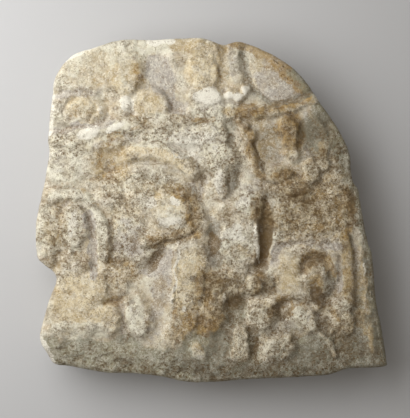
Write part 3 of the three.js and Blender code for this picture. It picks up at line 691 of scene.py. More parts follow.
        Patch(-26, 66, 4, 6), Patch(-77, 37, 9, 4, 0.8), Patch(-75, 37, 8, 4, 0.6),
        Patch(-48, 76, 7, 9, 0.5), Patch(76, -62, 5.6, 10, 0.8, 6), Patch(-20, 44, 20, 5, 0.8),
        Patch(38, -78, 9, 7, 0.8), Patch(76, 6, 5, 12, 0.4), Patch(57, 22, 6, 8, 0.6),
        Patch(38, 21, 8, 3.5, 0.3), Streak(((-12, -66), (-20, -78)), 5, 0.4), Patch(34, 68, 9, 4, 0.7, 20),
        Patch(-26, 54, 28, 4, 0.5), Streak(((-93, 41), (-75, 42), (-45, 49)), 4, 0.9),
        Patch(2, 60, 14, 5, 0.9), Patch(-13, -33, 7, 11, 0.4), Patch(-76, -69, 18, 7, 0.85),
        Patch(-88, 52, 8, 6, 0.5), Patch(41, -15, 8, 5, 0.9), Patch(58, -4, 18, 8, 0.5),
        Patch(76, -4, 4, 10, 0.7), Patch(38, 2, 6, 12, 0.5),
    ),
    Wash.CREAM: (
        Patch(-57.5, 42, 10, 3, 1.0, 8), Patch(76, -60, 5, 8, 0.7), Patch(-50, -4, 12, 14, 0.6),
        Patch(-3, 83, 9, 11, 0.9), Patch(16.6, -78, 6, 12, 0.6), Patch(-23, 3, 10, 10, 0.9),
        Patch(2, 36, 9, 14, 0.8), Patch(-76, 37, 9, 4.5, 0.8), Patch(-45, 15, 13, 7, 0.7),
        Patch(-93, -10, 5, 11, 0.9), Patch(-13, -42, 8, 16), Patch(29, -59, 7, 8, 0.7), Patch(3, 41, 8, 9),
        Patch(-94, -12, 4, 12), Patch(-12, -34, 7, 12, 0.9), Patch(-14, 42, 18, 6, 0.4),
        Streak(((-46, 33), (-36, 35.5), (-26, 32.5), (-14, 25)), 5), Patch(-76, -54, 19, 20, 0.95),
        Patch(45, -36, 9, 12, 0.7), Streak(((75, 4), (78.5, -20), (78.5, -54)), 3.4, 0.6),
        Patch(79, -40, 4, 28, 0.5), Patch(-58, -63, 6, 9, 0.6), Patch(-50, 80, 12, 14, 0.8),
        Patch(-36, 62, 11, 8, 0.8), Patch(-74, 60, 10, 7, 0.8), Patch(-4, 82, 11, 13, 0.9),
        Patch(-14, -42, 9, 20, 0.9), Patch(-22, 6, 10, 7, 0.6),
    ),
    # painted shade: the moss along the right border and over the right side darkens stone turned from the
    # light; the lower band is real bloom
    Wash.MOSS_AND_SHADE: (
        Streak(((-94, -82), (-70, -85), (-40, -88), (-10, -94), (40, -96), (92, -92)), 11),
        Streak(((-94, -88), (-60, -92), (-25, -96), (5, -100), (60, -97), (98, -92)), 5),
        Patch(14, -58, 7, 10, 0.9), Patch(4, -80, 8, 10, 0.9), Patch(25, -76, 4, 9, 0.9),
        Patch(-48, -76, 8, 5, 0.7),
        Streak(((50, 79), (58, 70), (72, 50), (82, 22), (88, 0), (93, -20), (96, -50), (99, -84)), 7, 0.8),
        Patch(60, -80, 26, 10, 0.9), Patch(0, -78, 30, 9, 0.7), Patch(66, 46, 12, 14, 0.7),
        Patch(13, 84, 5, 12, 0.5), Patch(11, 51, 5, 5, 0.5), Patch(84, -64, 10, 24, 0.5),
        Patch(60, 30, 16, 16, 0.4), Patch(8, -58, 10, 8, 0.5),
    ),
    Wash.ROUGH: (
        Patch(39, -58, 8, 7, 0.8), Patch(30, -42, 10, 7, 0.8),
        Streak(((-14, 12), (-9, 2), (-9, -10), (-20, -15), (-36, -19.5)), 4.4, 0.9),
        Patch(-50, -4, 14, 16, 0.45), Streak(((-60, -88), (-20, -93), (30, -93), (80, -88)), 6, 0.25),
        Patch(46, 45, 7, 10, 0.7), Streak(((54, -31), (58, -27.5), (64, -28)), 4, 0.5),
        Streak(((77.5, 13), (81, -6)), 4, 0.8), Patch(-45, 14, 28, 12, 0.5), Patch(6, 34, 14, 22, 0.5),
        Patch(52, 2, 30, 20), Patch(10, -50, 26, 18, 0.9), Patch(-84, -14, 14, 18, 0.35),
        Patch(-50, -26, 14, 16, 0.7), Patch(28, -76, 22, 12, 0.7), Patch(-86, 38, 14, 7, 0.5),
        Patch(-30, 47, 32, 7, 0.6), Patch(-84, 38, 12, 5, 0.5), Patch(70, -64, 16, 20, 0.6),
        Patch(68, 32, 14, 18, 0.6),
        Streak(((-90, -84), (-50, -88), (0, -92), (50, -92), (92, -88)), 9, 0.4),
        Patch(80, -70, 12, 16, 0.5), Patch(88, -30, 6, 40, 0.4),
    ),
    Wash.SLEEK: (
        Patch(-69.4, 45.6, 8.5, 4.2, 1.0, 12), Patch(-54, 48.4, 7, 3.8, 1.0, 12),
        Patch(-56.5, 41.6, 9, 3, 0.7, 8), Patch(2, 40, 7, 9, 0.5), Patch(0, 66.5, 7, 5),
        Patch(15, 68, 8, 4.4), Patch(-49.4, 62.6, 5.4, 5, 0.8), Patch(-76, 37, 8, 4, 0.5),
        Patch(-12, -34, 7, 14, 0.5), Patch(-64, 82, 28, 15, 0.7), Patch(-34, 62, 12, 9, 0.7),
        Patch(-75, 58, 13, 9, 0.5), Patch(-4, 84, 12, 14, 0.5),
        Streak(((-71, 0), (-70, -14), (-67.5, -38)), 2.6, 0.9), Patch(-24, 2, 9, 9, 0.7),
        Patch(-76, -54, 17, 17, 0.6), Patch(-34, 33, 14, 5.5, 0.9, -15), Patch(44, -36, 9, 14, 0.8),
        Patch(40, 76, 18, 16, 0.7), Patch(-28, 76, 9, 16, 0.8, 18), Patch(36, 38, 9, 13, 0.8),
        Patch(-13, -38, 7, 16, 0.5), Patch(-34, -44, 8, 16, 0.7, -16), Patch(84, -45, 7, 36, 0.5),
    ),
}
STRAY_SEED = 80             # first seed of the noise that frays the washes, four seeds a wash
STRAY_WIDE = (4.0, 8.0)     # amount and size of the broad fraying
STRAY_FINE = (2.0, 3.0)     # amount and size of the fine fraying


def washed(wash: Wash, x: Array, y: Array) -> Array:
    """Adds up every patch and streak of one wash.

    Args:
        wash: which wash.
        x: places along X.
        y: places along Y.

    Returns:
        How strongly the wash covers each place, from 0 to 1.
    """
    seed = STRAY_SEED + 4 * list(Wash).index(wash)
    strayed_x = x + layered((Grain(*STRAY_WIDE, seed), Grain(*STRAY_FINE, seed + 1)), x, y)
    strayed_y = y + layered((Grain(*STRAY_WIDE, seed + 2), Grain(*STRAY_FINE, seed + 3)), x, y)
    bare = np.ones(x.shape)
    for stain in WASHES[wash]:
        bare = bare * (1.0 - stain.cover(strayed_x, strayed_y))
    return 1.0 - bare


# ---------------------------------------------------------------- the block
@dataclass(frozen=True)
class BrokenOutline:
    """The broken edge of the tablet, anticlockwise from its lower left corner, in four sides."""

    bottom: Path = ((-91, -89), (-80, -90.8), (-62, -94.2), (-45, -94.8), (-30, -96.4), (-14, -99.8),
                    (2, -99.8), (22, -98), (45, -97), (68, -95.2), (80, -91.6), (100, -90.5))
    right: Path = ((101.8, -86), (99.8, -72), (95.6, -50), (93.7, -26), (91, -18), (87, 3), (85.6, 12),
                   (82, 18), (80.6, 32), (77, 42), (69, 55), (63, 63), (56, 74))
    top: Path = ((45, 85), (31, 93), (17, 98.2), (6, 96.6), (-7, 100.5), (-32, 99.5), (-52, 99), (-66, 95))
    left: Path = ((-80, 90), (-90, 78), (-92.5, 63), (-94.6, 42), (-94, 32), (-98, 10), (-101.4, -8),
                  (-101, -25), (-97, -31), (-89.6, -38.5), (-94, -52), (-99, -70), (-98.6, -77), (-95, -83))
    fine_steps: int = 40
    normal_reach_mm: float = 11.0

    def points(self, steps: int) -> Array:
        """Spaces points evenly along each of the four sides.

        Args:
            steps: points on each side.

        Returns:
            The places round the whole outline, one row each.
        """
        sides = (self.bottom, self.right, self.top, self.left)
        curve = curve_through([place for side in sides for place in side], True, self.fine_steps)
        start = 0
        rows = []
        for side in sides:
            stop = start + len(side) * self.fine_steps
            run = np.vstack([curve, curve[:1]])[start:stop + 1]
            length = lengths_along(run)
            wanted = length[-1] * np.arange(steps) / steps
            rows.append(np.column_stack([np.interp(wanted, length, run[:, axis]) for axis in (0, 1)]))
            start = stop
        return np.vstack(rows)

    def outward(self, points: Array) -> Array:
        """Works out which way faces out of the stone at each point.

        Args:
            points: places round the outline.

        Returns:
            Unit directions, one row each.
        """
        spacing = np.hypot(*(points[1] - points[0]))
        reach = max(1, round(self.normal_reach_mm / spacing))
        run = np.roll(points, -reach, 0) - np.roll(points, reach, 0)
        normal = np.stack([run[:, 1], -run[:, 0]], 1)
        return normal / np.linalg.norm(normal, axis=1, keepdims=True)


@dataclass(frozen=True)
class CarvedFace:
    """The height of the worn carving over the block's flat back."""

    field_level: float = 33.0
    highest: float = 38.0
    top_rounding: float = 0.8
    drift_x: Layers = (Grain(1.6, 9.0, 61), Grain(1.6, 3.6, 62), Grain(0.9, 1.8, 65))
    drift_y: Layers = (Grain(1.6, 9.0, 63), Grain(1.6, 3.6, 64), Grain(0.9, 1.8, 66))
    wear_level: float = 4.4
    wear_share: float = 0.6
    wear_rounding: float = 0.8
    wear_drift: Grain = Grain(1.2, 22.0, 5)
    lower_border: Point = (-72.0, 3.6)          # where it starts to slope, at its left end, and its height
    lower_border_shift: float = 13.0            # how much lower it starts at its right end
    lower_border_slope: Point = (0.36, 0.24)    # slope at its left end, and what the right end adds
    lower_border_ends: Point = (-60.0, 30.0)    # where its left end changes into its right end
    right_border_line: Path = ((-100, 92), (-88, 92), (-40, 86), (0, 80), (62, 58), (101, 34))
    right_border_level: float = 2.6
    right_border_slope: float = 0.45
    ragged_border: Layers = (Grain(1.6, 8.0, 21), Grain(1.1, 3.4, 22))
    proud_heights: Point = (0.6, 3.8)
    pitting: tuple[float, float, float] = (0.08, 0.24, 0.6)    # everywhere, on proud parts, in rough patches
    sleek_share: float = 0.85
    skin_depth: float = 0.22
    torn_skin: Layers = (Grain(1.0, 5.2, 71), Grain(0.6, 2.6, 72), Grain(0.45, 1.4, 73))
    skin_hold: float = 0.34
    skin_loss: float = 0.36
    waves: Grain = Grain(0.35, 11.0, 1)
    coarse_wear: Grain = Grain(0.3, 5.5, 2)
    fine_wear: Grain = Grain(0.3, 2.7, 3)
    pit_depth: float = 0.8
    pits: Layers = (Grain(1.0, 2.6, 9), Grain(0.8, 1.7, 10))
    pit_threshold: float = 0.13

    @staticmethod
    def soft_lower(a: Array, b: Array, blend: float = 1.6) -> Array:
        """Returns the lower of two heights, with a rounded join."""
        return 0.5 * (a + b - np.hypot(a - b, blend))

    def borders(self, x: Array, y: Array, height: Array) -> Array:
        """Slopes the lower and right borders away.

        Args:
            x: places along X.
            y: places along Y.
            height: height so far.

        Returns:
            The height with the borders sloped.
        """
        towards_right = smoothstep(*self.lower_border_ends, x)
        start = self.lower_border[0] - self.lower_border_shift * towards_right
        slope = self.lower_border_slope[0] + self.lower_border_slope[1] * towards_right
        lower = self.lower_border[1] - (start - y) * slope
        levels, places = zip(*self.right_border_line)
        right = self.right_border_level - (x - np.interp(y, levels, places)) * self.right_border_slope
        ragged = layered(self.ragged_border, x, y)
        return self.soft_lower(self.soft_lower(height, lower + ragged), right + ragged)

    def roughness(self, x: Array, y: Array, height: Array) -> Array:
        """How pitted the stone is: most on rubbed high parts, least in sheltered hollows.

        Args:
            x: places along X.
            y: places along Y.
            height: height of the carving.

        Returns:
            Values from 0, sleek, to 1, deeply pitted.
        """
        everywhere, when_proud, in_patches = self.pitting
        proud = smoothstep(*self.proud_heights, height)
        rough = everywhere + when_proud * proud + in_patches * washed(Wash.ROUGH, x, y)
        return np.clip(rough * (1.0 - self.sleek_share * washed(Wash.SLEEK, x, y)), 0.0, 1.0)

    def flaking(self, x: Array, y: Array, rough: Array) -> Array:
        """Where the stone's thin hard skin has flaked off.

        Args:
            x: places along X.
            y: places along Y.
            rough: how pitted each place is.

        Returns:
            Values from 0, skin whole, to 1, skin gone.
        """
        torn = layered(self.torn_skin, x, y) - self.skin_hold + self.skin_loss * rough
        return smoothstep(-0.05, 0.05, torn)

    def worn(self, x: Array, y: Array) -> Array:
        """Carves every figure, along edges that wander a little, and rubs down what stands highest.

        Args:
            x: places along X.
            y: places along Y.

        Returns:
            The height over the carving's ground.
        """
        height = np.zeros(x.shape)
        drifted_x, drifted_y = x + layered(self.drift_x, x, y), y + layered(self.drift_y, x, y)
        for figure in CARVING:
            height = figure.carve(drifted_x, drifted_y, height)
        over = height - self.wear_level - self.wear_drift.at(x, y)
        return height - self.wear_share * 0.5 * (over + np.hypot(over, self.wear_rounding))

    def height(self, x: Array, y: Array) -> tuple[Array, Array, Array]:
        """Carves, wears, flakes and pits the face.

        Args:
            x: places along X.
            y: places along Y.

        Returns:
            The height over the back, how pitted each place is, and where the skin is gone.
        """
        height = self.borders(x, y, self.worn(x, y))
        rough = self.roughness(x, y, height)
        flaked = self.flaking(x, y, rough)
        height = height - self.skin_depth * flaked + self.waves.at(x, y)
        height = height + self.coarse_wear.at(x, y) * (0.35 + 0.65 * rough)
        height = height + self.fine_wear.at(x, y) * (0.2 + 0.8 * rough)
        eaten = np.clip(layered(self.pits, x, y) - self.pit_threshold, 0.0, 1.0)
        level = self.field_level + height - self.pit_depth * eaten * (0.08 + 0.92 * rough)
        return self.soft_lower(level, np.full(x.shape, self.highest), self.top_rounding), rough, flaked


@dataclass(frozen=True)
class Chip:
    """One layer of chips on the broken walls, leaning along the wall as it goes down."""

    layer: Grain
    lean: Point

    def bite(self, x: Array, y: Array, level: Array) -> Array:
        """Returns how deep the chips go at each place."""
        return self.layer.rise(x + self.lean[0] * level, y + self.lean[1] * level)


@dataclass
class ReliefPanel:
    """The whole fragment: carved face, rounded rim, broken walls and dressed back, as one closed mesh."""

    outline: BrokenOutline = field(default_factory=BrokenOutline)
    face: CarvedFace = field(default_factory=CarvedFace)
    face_steps: int = 270
    back_steps: int = 90
    cad_steps: int = 56                 # steps on each side of the CAD block's own outline
    rim_width: float = 2.4
    rim_drop: float = 2.6
    rim_drop_drift: Grain = Grain(1.1, 9.0, 33)
    rim_jags: Layers = (Grain(0.9, 6.0, 31), Grain(0.7, 2.2, 32))
    rim_rings: int = 4
    wall_rings: int = 6
    wall_foot: float = 3.68
    wall_belly: float = 1.2
    wall_chips: tuple[Chip, ...] = (
        Chip(Grain(2.2, 13.0, 41), (3, -2)), Chip(Grain(1.5, 5.0, 42), (-2, 3)),
        Chip(Grain(0.7, 2.4, 43), (0, 4)))
    wall_chip_share: float = 0.8
    foot_bevel: float = 1.6
    back_inset: float = 1.5
    back_relief: float = 0.7
    back_strokes: Grain = Grain(2.0, 4.5, 51)
    back_waves: Grain = Grain(1.0, 9.0, 52)
    stain_foot: float = 12.0            # how far below the carving's ground its stains reach
    stain_fade: float = 6.0             # height over which they fade in
    wall_rough: float = 0.12
    wall_flaked: float = 0.3
    hollow_reach: int = 9               # grid steps looked round for broad hollows
    crevice_reach: int = 3              # and for narrow ones
    vertices: list[Array] = field(default_factory=list)
    quads: list[Array] = field(default_factory=list)
    triangles: list[Array] = field(default_factory=list)
    count: int = 0

    def add_vertices(self, places: Array) -> Array:
        """Adds places to the mesh.

        Args:
            places: rows of X, Y, Z.

        Returns:
            Their numbers in the mesh.
        """
        self.vertices.append(places)
        numbers = np.arange(self.count, self.count + len(places))
        self.count += len(places)
        return numbers

    def add_band(self, upper: Array, lower: Array) -> None:
        """Joins two rings of the same number of points with quads that face outwards.

        Args:
            upper: numbers of the upper ring.
            lower: numbers of the lower ring.
        """
        self.quads.append(np.stack([lower, np.roll(lower, -1), np.roll(upper, -1), upper], 1))

    def coons(self, ring: Array, steps: int) -> Array:
        """Stretches a grid between the four sides of a ring.

        Args:
            ring: X and Y of the ring, anticlockwise from the lower left.
            steps: grid steps on each side.

        Returns:
            X and Y of the grid, indexed by row and column.
        """
        bottom = ring[:steps + 1]
        right = ring[steps:2 * steps + 1]
        top = ring[2 * steps:3 * steps + 1][::-1]
        left = np.vstack([ring[3 * steps:], ring[:1]])[::-1]
        s = np.linspace(0, 1, steps + 1)[None, :, None]
        t = np.linspace(0, 1, steps + 1)[:, None, None]
        grid = (1 - t) * bottom[None] + t * top[None] + (1 - s) * left[:, None] + s * right[:, None]
        corners = ((1 - s) * (1 - t) * bottom[0] + s * (1 - t) * bottom[-1]
                   + (1 - s) * t * top[0] + s * t * top[-1])
        return grid - corners

    def add_grid(self, grid: Array, ring: Array, steps: int, upwards: bool) -> None:
        """Adds a grid whose border is a ring that is already in the mesh.

        Args:
            grid: X, Y, Z of the grid, indexed by row and column.
            ring: numbers of the border ring.
            steps: grid steps on each side.
            upwards: whether its faces look up.
        """
        numbers = np.empty((steps + 1, steps + 1), int)
        numbers[0, :] = ring[:steps + 1]
        numbers[:, -1] = ring[steps:2 * steps + 1]
        numbers[-1, :] = ring[2 * steps:3 * steps + 1][::-1]
        numbers[:, 0] = np.concatenate([ring[3 * steps:], ring[:1]])[::-1]
        inner = self.add_vertices(grid[1:-1, 1:-1].reshape(-1, 3))
        numbers[1:-1, 1:-1] = inner.reshape(steps - 1, steps - 1)
        a, b = numbers[:-1, :-1].ravel(), numbers[:-1, 1:].ravel()
        c, d = numbers[1:, 1:].ravel(), numbers[1:, :-1].ravel()
        self.quads.append(np.stack([a, b, c, d] if upwards else [a, d, c, b], 1))

    def rim(self, points: Array, outward: Array, jag: Array,
            wrap: Array) -> list[Array]:
        """Rounds the broken edge over, from the carved face down to the wall.

        Args:
            points: outline places.
            outward: outward directions.
            jag: how far the edge is broken back at each place.
            wrap: places on a circle as long as the outline, for noise that meets itself.

        Returns:
            X, Y, Z of its rings, from the top down.
        """
        inner = points - outward * (self.rim_width + jag)[:, None]
        level = self.face.height(inner[:, 0], inner[:, 1])[0]
        drop = self.rim_drop + self.rim_drop_drift.at(*wrap)
        rings = []
        for k in range(self.rim_rings + 1):
            angle = 0.5 * math.pi * k / self.rim_rings
            inset = jag * (0.35 + 0.65 * math.cos(angle)) + self.rim_width * (1 - math.sin(angle))
            rings.append(np.column_stack([points - outward * inset[:, None],
                                          level - drop * (1 - math.cos(angle))]))
        return rings

    def wall(self, points: Array, outward: Array, jag: Array, wrap: Array,
             top: Array) -> list[Array]:
        """Breaks the wall down to the foot, chipped and drawn in, and turns it under the block.

        Args:
            points: outline places.
            outward: outward directions.
            jag: how far the edge is broken back at each place.
            wrap: places on a circle as long as the outline.
            top: height of the wall's upper edge.

        Returns:
            X, Y, Z of its rings, from the top down.
        """
        turn = 2 * math.pi / len(points) * np.arange(len(points))
        ripple = 0.9 * (np.sin(11 * turn) + 0.7 * np.sin(26 * turn + 2))
        rings = []
        for k in range(1, self.wall_rings + 1):
            down = k / self.wall_rings
            level = top + (self.foot_bevel - top) * down
            drawn = self.wall_belly * math.sin(math.pi * down) + self.wall_foot * down ** 2
            chips = sum(chip.bite(*wrap, level) for chip in self.wall_chips)
            chips = chips * min(1.0, 2.0 * down) * self.wall_chip_share
            inset = np.maximum(0.35 * jag + drawn + chips + ripple * down, 0.0)
            rings.append(np.column_stack([points - outward * inset[:, None], level]))
        under = rings[-1][:, :2] - outward * self.foot_bevel * 0.6
        rings.append(np.column_stack([under, np.zeros(len(points))]))
        return rings

    def build(self) -> bpy.types.Object:
        """Makes the mesh with its stain masks.

        Returns:
            The finished object, in metres, over the CAD block's own footprint.
        """
        points = self.outline.points(self.face_steps)
        outward = self.outline.outward(points)
        run = lengths_along(points)
        share = run / run[-1] * 2 * math.pi
        wrap = np.array([100 * np.cos(share), 100 * np.sin(share)])
        jag = sum(layer.rise(*wrap) for layer in self.rim_jags)
        rings = self.rim(points, outward, jag, wrap)
        rings += self.wall(points, outward, jag, wrap, rings[-1][:, 2])
        numbers = [self.add_vertices(ring) for ring in rings]
        for upper, lower in zip(numbers[:-1], numbers[1:]):
            self.add_band(upper, lower)

        flat = self.coons(rings[0][:, :2], self.face_steps)
        level, rough, flaked = self.face.height(flat[..., 0], flat[..., 1])
        self.add_grid(np.dstack([flat, level]), numbers[0], self.face_steps, True)
        self.add_back(rings[-1], numbers[-1], outward)
        return self.finish(level, rough, flaked)

    def add_back(self, foot: Array, foot_numbers: Array, outward: Array) -> None:
        """Closes the block with its roughly dressed back, whose grid is coarser than the wall's rings.

        Args:
            foot: X, Y, Z of the lowest ring.
            foot_numbers: its numbers in the mesh.
            outward: outward directions round the outline.
        """
        ratio = self.face_steps // self.back_steps
        border = foot[::ratio, :2] - outward[::ratio] * self.back_inset
        near = self.add_vertices(np.column_stack([border, np.zeros(len(border))]))
        after = np.roll(near, -1)
        far = [foot_numbers[k::ratio] for k in range(ratio)]
        far.append(np.roll(far[0], -1))
        for k in range(1, ratio):
            self.triangles.append(np.stack([near, far[k], far[k - 1]], 1))
        self.triangles.append(np.stack([near, after, far[ratio - 1]], 1))
        self.triangles.append(np.stack([after, far[ratio], far[ratio - 1]], 1))
        flat = self.coons(border, self.back_steps)
        x, y = flat[..., 0], flat[..., 1]
        strokes = np.abs(self.back_strokes.at(x * 0.35 + y * 0.2, y * 1.4 - x * 0.5))
        rise = 0.6 * strokes + 0.5 * self.back_waves.rise(x, y) - 0.25
        level = self.back_relief * np.clip(rise, 0.0, 1.0)
        self.add_grid(np.dstack([flat, level]), near, self.back_steps, False)

    def finish(self, level: Array, rough: Array, flaked: Array) -> bpy.types.Object:
        """Turns the gathered places and faces into an object with its stain masks.

        Args:
            level: heights of the carved face's grid.
            rough: pitting of the grid.
            flaked: where the grid's skin is gone.

        Returns:
            The object.
        """
        places = np.vstack(self.vertices)
        x, y, z = places.T
        outline = self.outline.points(self.cad_steps)
        own_middle = (*(0.5 * (outline.min(0) + outline.max(0))), 0.0)
        cad_middle = (*np.mean(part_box("relief_panel"), axis=0)[:2], 0.0)
        metres = (places - own_middle) * MM + cad_middle
        faces = np.vstack(self.quads).tolist() + np.vstack(self.triangles).tolist()
        mesh = bpy.data.meshes.new("relief_stone")
        mesh.from_pydata(metres.tolist(), [], faces)
        mesh.polygons.foreach_set("use_smooth", np.ones(len(mesh.polygons), bool))
        mesh.update()

        on_face = np.clip((z - (self.face.field_level - self.stain_foot)) / self.stain_fade, 0.0, 1.0)
        for wash in STAINS:
            self.paint(mesh, wash.value, washed(wash, x, y) * on_face)
        self.paint(mesh, "hollow", self.on_grid(self.shelter(level, self.hollow_reach)))
        self.paint(mesh, "crevice", self.on_grid(self.shelter(level, self.crevice_reach)))
        self.paint(mesh, "rough", self.on_grid(rough, self.wall_rough))
        self.paint(mesh, "flaked", self.on_grid(flaked, self.wall_flaked))
        self.paint(mesh, "wall", 1.0 - on_face)
        piece = bpy.data.objects.new("carved_stone", mesh)
        bpy.context.scene.collection.objects.link(piece)
        return piece

    def shelter(self, level: Array, reach: int) -> Array:
        """How far each place of the face lies below the stone round it.

        Args:
            level: heights of the grid.
            reach: grid steps that count as round it.

        Returns:
            Millimetres below the mean, negative where the stone is proud.
        """
        padded = np.pad(level, reach, mode="edge")
        total = np.cumsum(np.cumsum(np.pad(padded, ((1, 0), (1, 0))), 0), 1)
        w = 2 * reach + 1
        mean = (total[w:, w:] - total[:-w, w:] - total[w:, :-w] + total[:-w, :-w]) / (w * w)
        return mean - level

    def on_grid(self, values: Array, elsewhere: float = 0.0) -> Array:
        """Spreads values of the face's grid over all points of the mesh.

        Args:
            values: one value for each grid place.
            elsewhere: value off the carved face.

        Returns:
            One value for each point.
        """
        spread = np.full(self.count, elsewhere)
        around = 4 * self.face_steps
        start = (self.rim_rings + self.wall_rings + 2) * around
        inside = values[1:-1, 1:-1]
        spread[start:start + inside.size] = inside.ravel()
        border = np.concatenate([values[0, :-1], values[:-1, -1], values[-1, :0:-1], values[:0:-1, 0]])
        for ring in range(self.rim_rings + 1):
            spread[ring * around:(ring + 1) * around] = border
        return spread

    @staticmethod
    def paint(mesh: bpy.types.Mesh, name: str, values: Array) -> None:
        """Keeps one value for each point of a mesh under a name its material reads."""
        mesh.attributes.new(name, "FLOAT", "POINT").data.foreach_set("value", values.astype(np.float32))


# ---------------------------------------------------------------- shader wiring
@dataclass(frozen=True)
class Speckle:
    """Marks of one kind: they show where noise of one grain size lies above a level."""

    size_mm: float
    low: float              # level at which the marks begin
    high: float             # level at which they are whole
    share: float = 1.0      # how strongly they show
    detail: float = 3.0
    rough: float = 0.55
    warp: float = 0.0


class Wiring:
    """Adds nodes to one node tree and links them in a line of words."""

    def __init__(self, tree: bpy.types.NodeTree) -> None:
        """Keeps the tree."""
        self.tree = tree

    def node(self, kind: str, inputs: dict | None = None, **settings: object) -> bpy.types.Node:
        """Adds a node, sets it up and links its inputs.

        Args:
            kind: Blender's name of the node type.
            inputs: values or output sockets for its inputs, by name or number.
            settings: properties of the node.

        Returns:
            The node.
        """
        node = self.tree.nodes.new(kind)
        for name, value in settings.items():
            setattr(node, name, value)
        for key, value in (inputs or {}).items():
            if isinstance(value, Socket):
                self.tree.links.new(value, node.inputs[key])
            else:
                node.inputs[key].default_value = value
        return node

    def noise(self, vector: Socket, size_mm: float, detail: float = 3.0,
              rough: float = 0.55, warp: float = 0.0) -> Socket:
        """Returns noise from 0 to 1 with grains of a size in millimetres."""
        return self.node("ShaderNodeTexNoise", {
            "Vector": vector, "Scale": 1.0 / (size_mm * MM), "Detail": detail, "Roughness": rough,
            "Distortion": warp}).outputs["Fac"]

    def math(self, operation: str, a: object, b: object = 0.0, clamp: bool = False) -> Socket:
        """Returns one arithmetic step."""
        return self.node("ShaderNodeMath", {0: a, 1: b}, operation=operation, use_clamp=clamp).outputs[0]

    def product(self, *factors: object, clamp: bool = False) -> Socket:
        """Multiplies factors in order.

        Args:
            factors: values or sockets.
            clamp: whether the result is kept from 0 to 1.

        Returns:
            The product.
        """
        result = factors[0]
        for factor in factors[1:]:
            result = self.math("MULTIPLY", result, factor, clamp)
        return result

    def inverse(self, value: Socket) -> Socket:
        """Returns 1 less a value."""
        return self.math("SUBTRACT", 1.0, value)

    def mask(self, value: Socket, low: object, high: object) -> Socket:
        """Returns an eased mask, 0 below one value and 1 above another."""
        return self.node("ShaderNodeMapRange", {"Value": value, "From Min": low, "From Max": high},
                         interpolation_type="SMOOTHSTEP").outputs["Result"]

    def off_middle(self, noise: Socket) -> Socket:
        """Returns how far noise lies from its middle, on either side."""
        return self.math("ABSOLUTE", self.math("SUBTRACT", noise, 0.5))

    def speckle(self, vector: Socket, kind: Speckle) -> Socket:
        """Scatters marks of one kind.

        Args:
            vector: place on the stone.
            kind: the kind of marks.

        Returns:
            Their mask.
        """
        noise = self.noise(vector, kind.size_mm, kind.detail, kind.rough, kind.warp)
        marks = self.mask(noise, kind.low, kind.high)
        return marks if kind.share == 1.0 else self.product(marks, kind.share)

    def mix(self, share: object, a: object, b: object) -> Socket:
        """Mixes two colours.

        Args:
            share: how much of the second colour, from 0 to 1.
            a: first colour.
            b: second colour.

        Returns:
            The mixed colour.
        """
        node = self.node("ShaderNodeMix", {0: share}, data_type="RGBA", clamp_factor=True)
        for socket, value in ((node.inputs[6], a), (node.inputs[7], b)):
            if isinstance(value, Socket):
                self.tree.links.new(value, socket)
            else:
                socket.default_value = opaque(value)
        return node.outputs[2]

    def attribute(self, name: str) -> Socket:
        """Returns a mask that is kept on the mesh."""
        return self.node("ShaderNodeAttribute", attribute_name=name).outputs["Fac"]


def opaque(colour: Colour) -> tuple[float, float, float, float]:
    """Returns a colour with full alpha."""
    return (*colour, 1.0)


def new_group(name: str, inputs: dict[str, str], outputs: dict[str, str]) -> bpy.types.NodeTree:
    """Makes an empty node group with named sockets.

    Args:
        name: the group's name.
        inputs: kind of each input, such as Color or Float, by name.
        outputs: kind of each output, by name.

    Returns:
        The group.
    """
    tree = bpy.data.node_groups.new(name, "ShaderNodeTree")
    for way, sockets in (("INPUT", inputs), ("OUTPUT", outputs)):
        for socket, kind in sockets.items():
            tree.interface.new_socket(socket, in_out=way, socket_type="NodeSocket" + kind)
    return tree


class StainGroup:
    """Node group that lays one stain over a colour, broken up by the stone's grain."""

    NAME = "stain over stone"
    BREAKUP_DETAIL = 6.0
    BREAKUP_ROUGHNESS = 0.66
    LEAST_COVER = 0.2       # cover below which a stain thins out, however ragged it is

    @classmethod
    def tree(cls) -> bpy.types.NodeTree:
        """Builds the group once.

        Returns:
            The node group, with inputs Under, Stain, Cover, Vector, Breakup Scale, Raggedness, Softness and
            Opacity, and output Color.
        """
        known = bpy.data.node_groups.get(cls.NAME)
        if known:
            return known
        tree = new_group(cls.NAME, {
            "Under": "Color", "Stain": "Color", "Cover": "Float", "Vector": "Vector",
            "Breakup Scale": "Float", "Raggedness": "Float", "Softness": "Float", "Opacity": "Float"},
            {"Color": "Color"})
        w = Wiring(tree)
        given = w.node("NodeGroupInput").outputs
        grainy = w.node("ShaderNodeTexNoise", {
            "Vector": given["Vector"], "Scale": given["Breakup Scale"], "Detail": cls.BREAKUP_DETAIL,
            "Roughness": cls.BREAKUP_ROUGHNESS}).outputs["Fac"]
        breakup = w.product(w.math("SUBTRACT", grainy, 0.5), given["Raggedness"])
        cover = w.math("ADD", given["Cover"], breakup)
        low = w.math("SUBTRACT", 0.5, given["Softness"])
        high = w.math("ADD", 0.5, given["Softness"])
        present = w.mask(given["Cover"], 0.0, cls.LEAST_COVER)
        mask = w.product(w.mask(cover, low, high), present, given["Opacity"], clamp=True)
        out = w.node("NodeGroupOutput", {"Color": w.mix(mask, given["Under"], given["Stain"])})
        out.is_active_output = True
        return tree


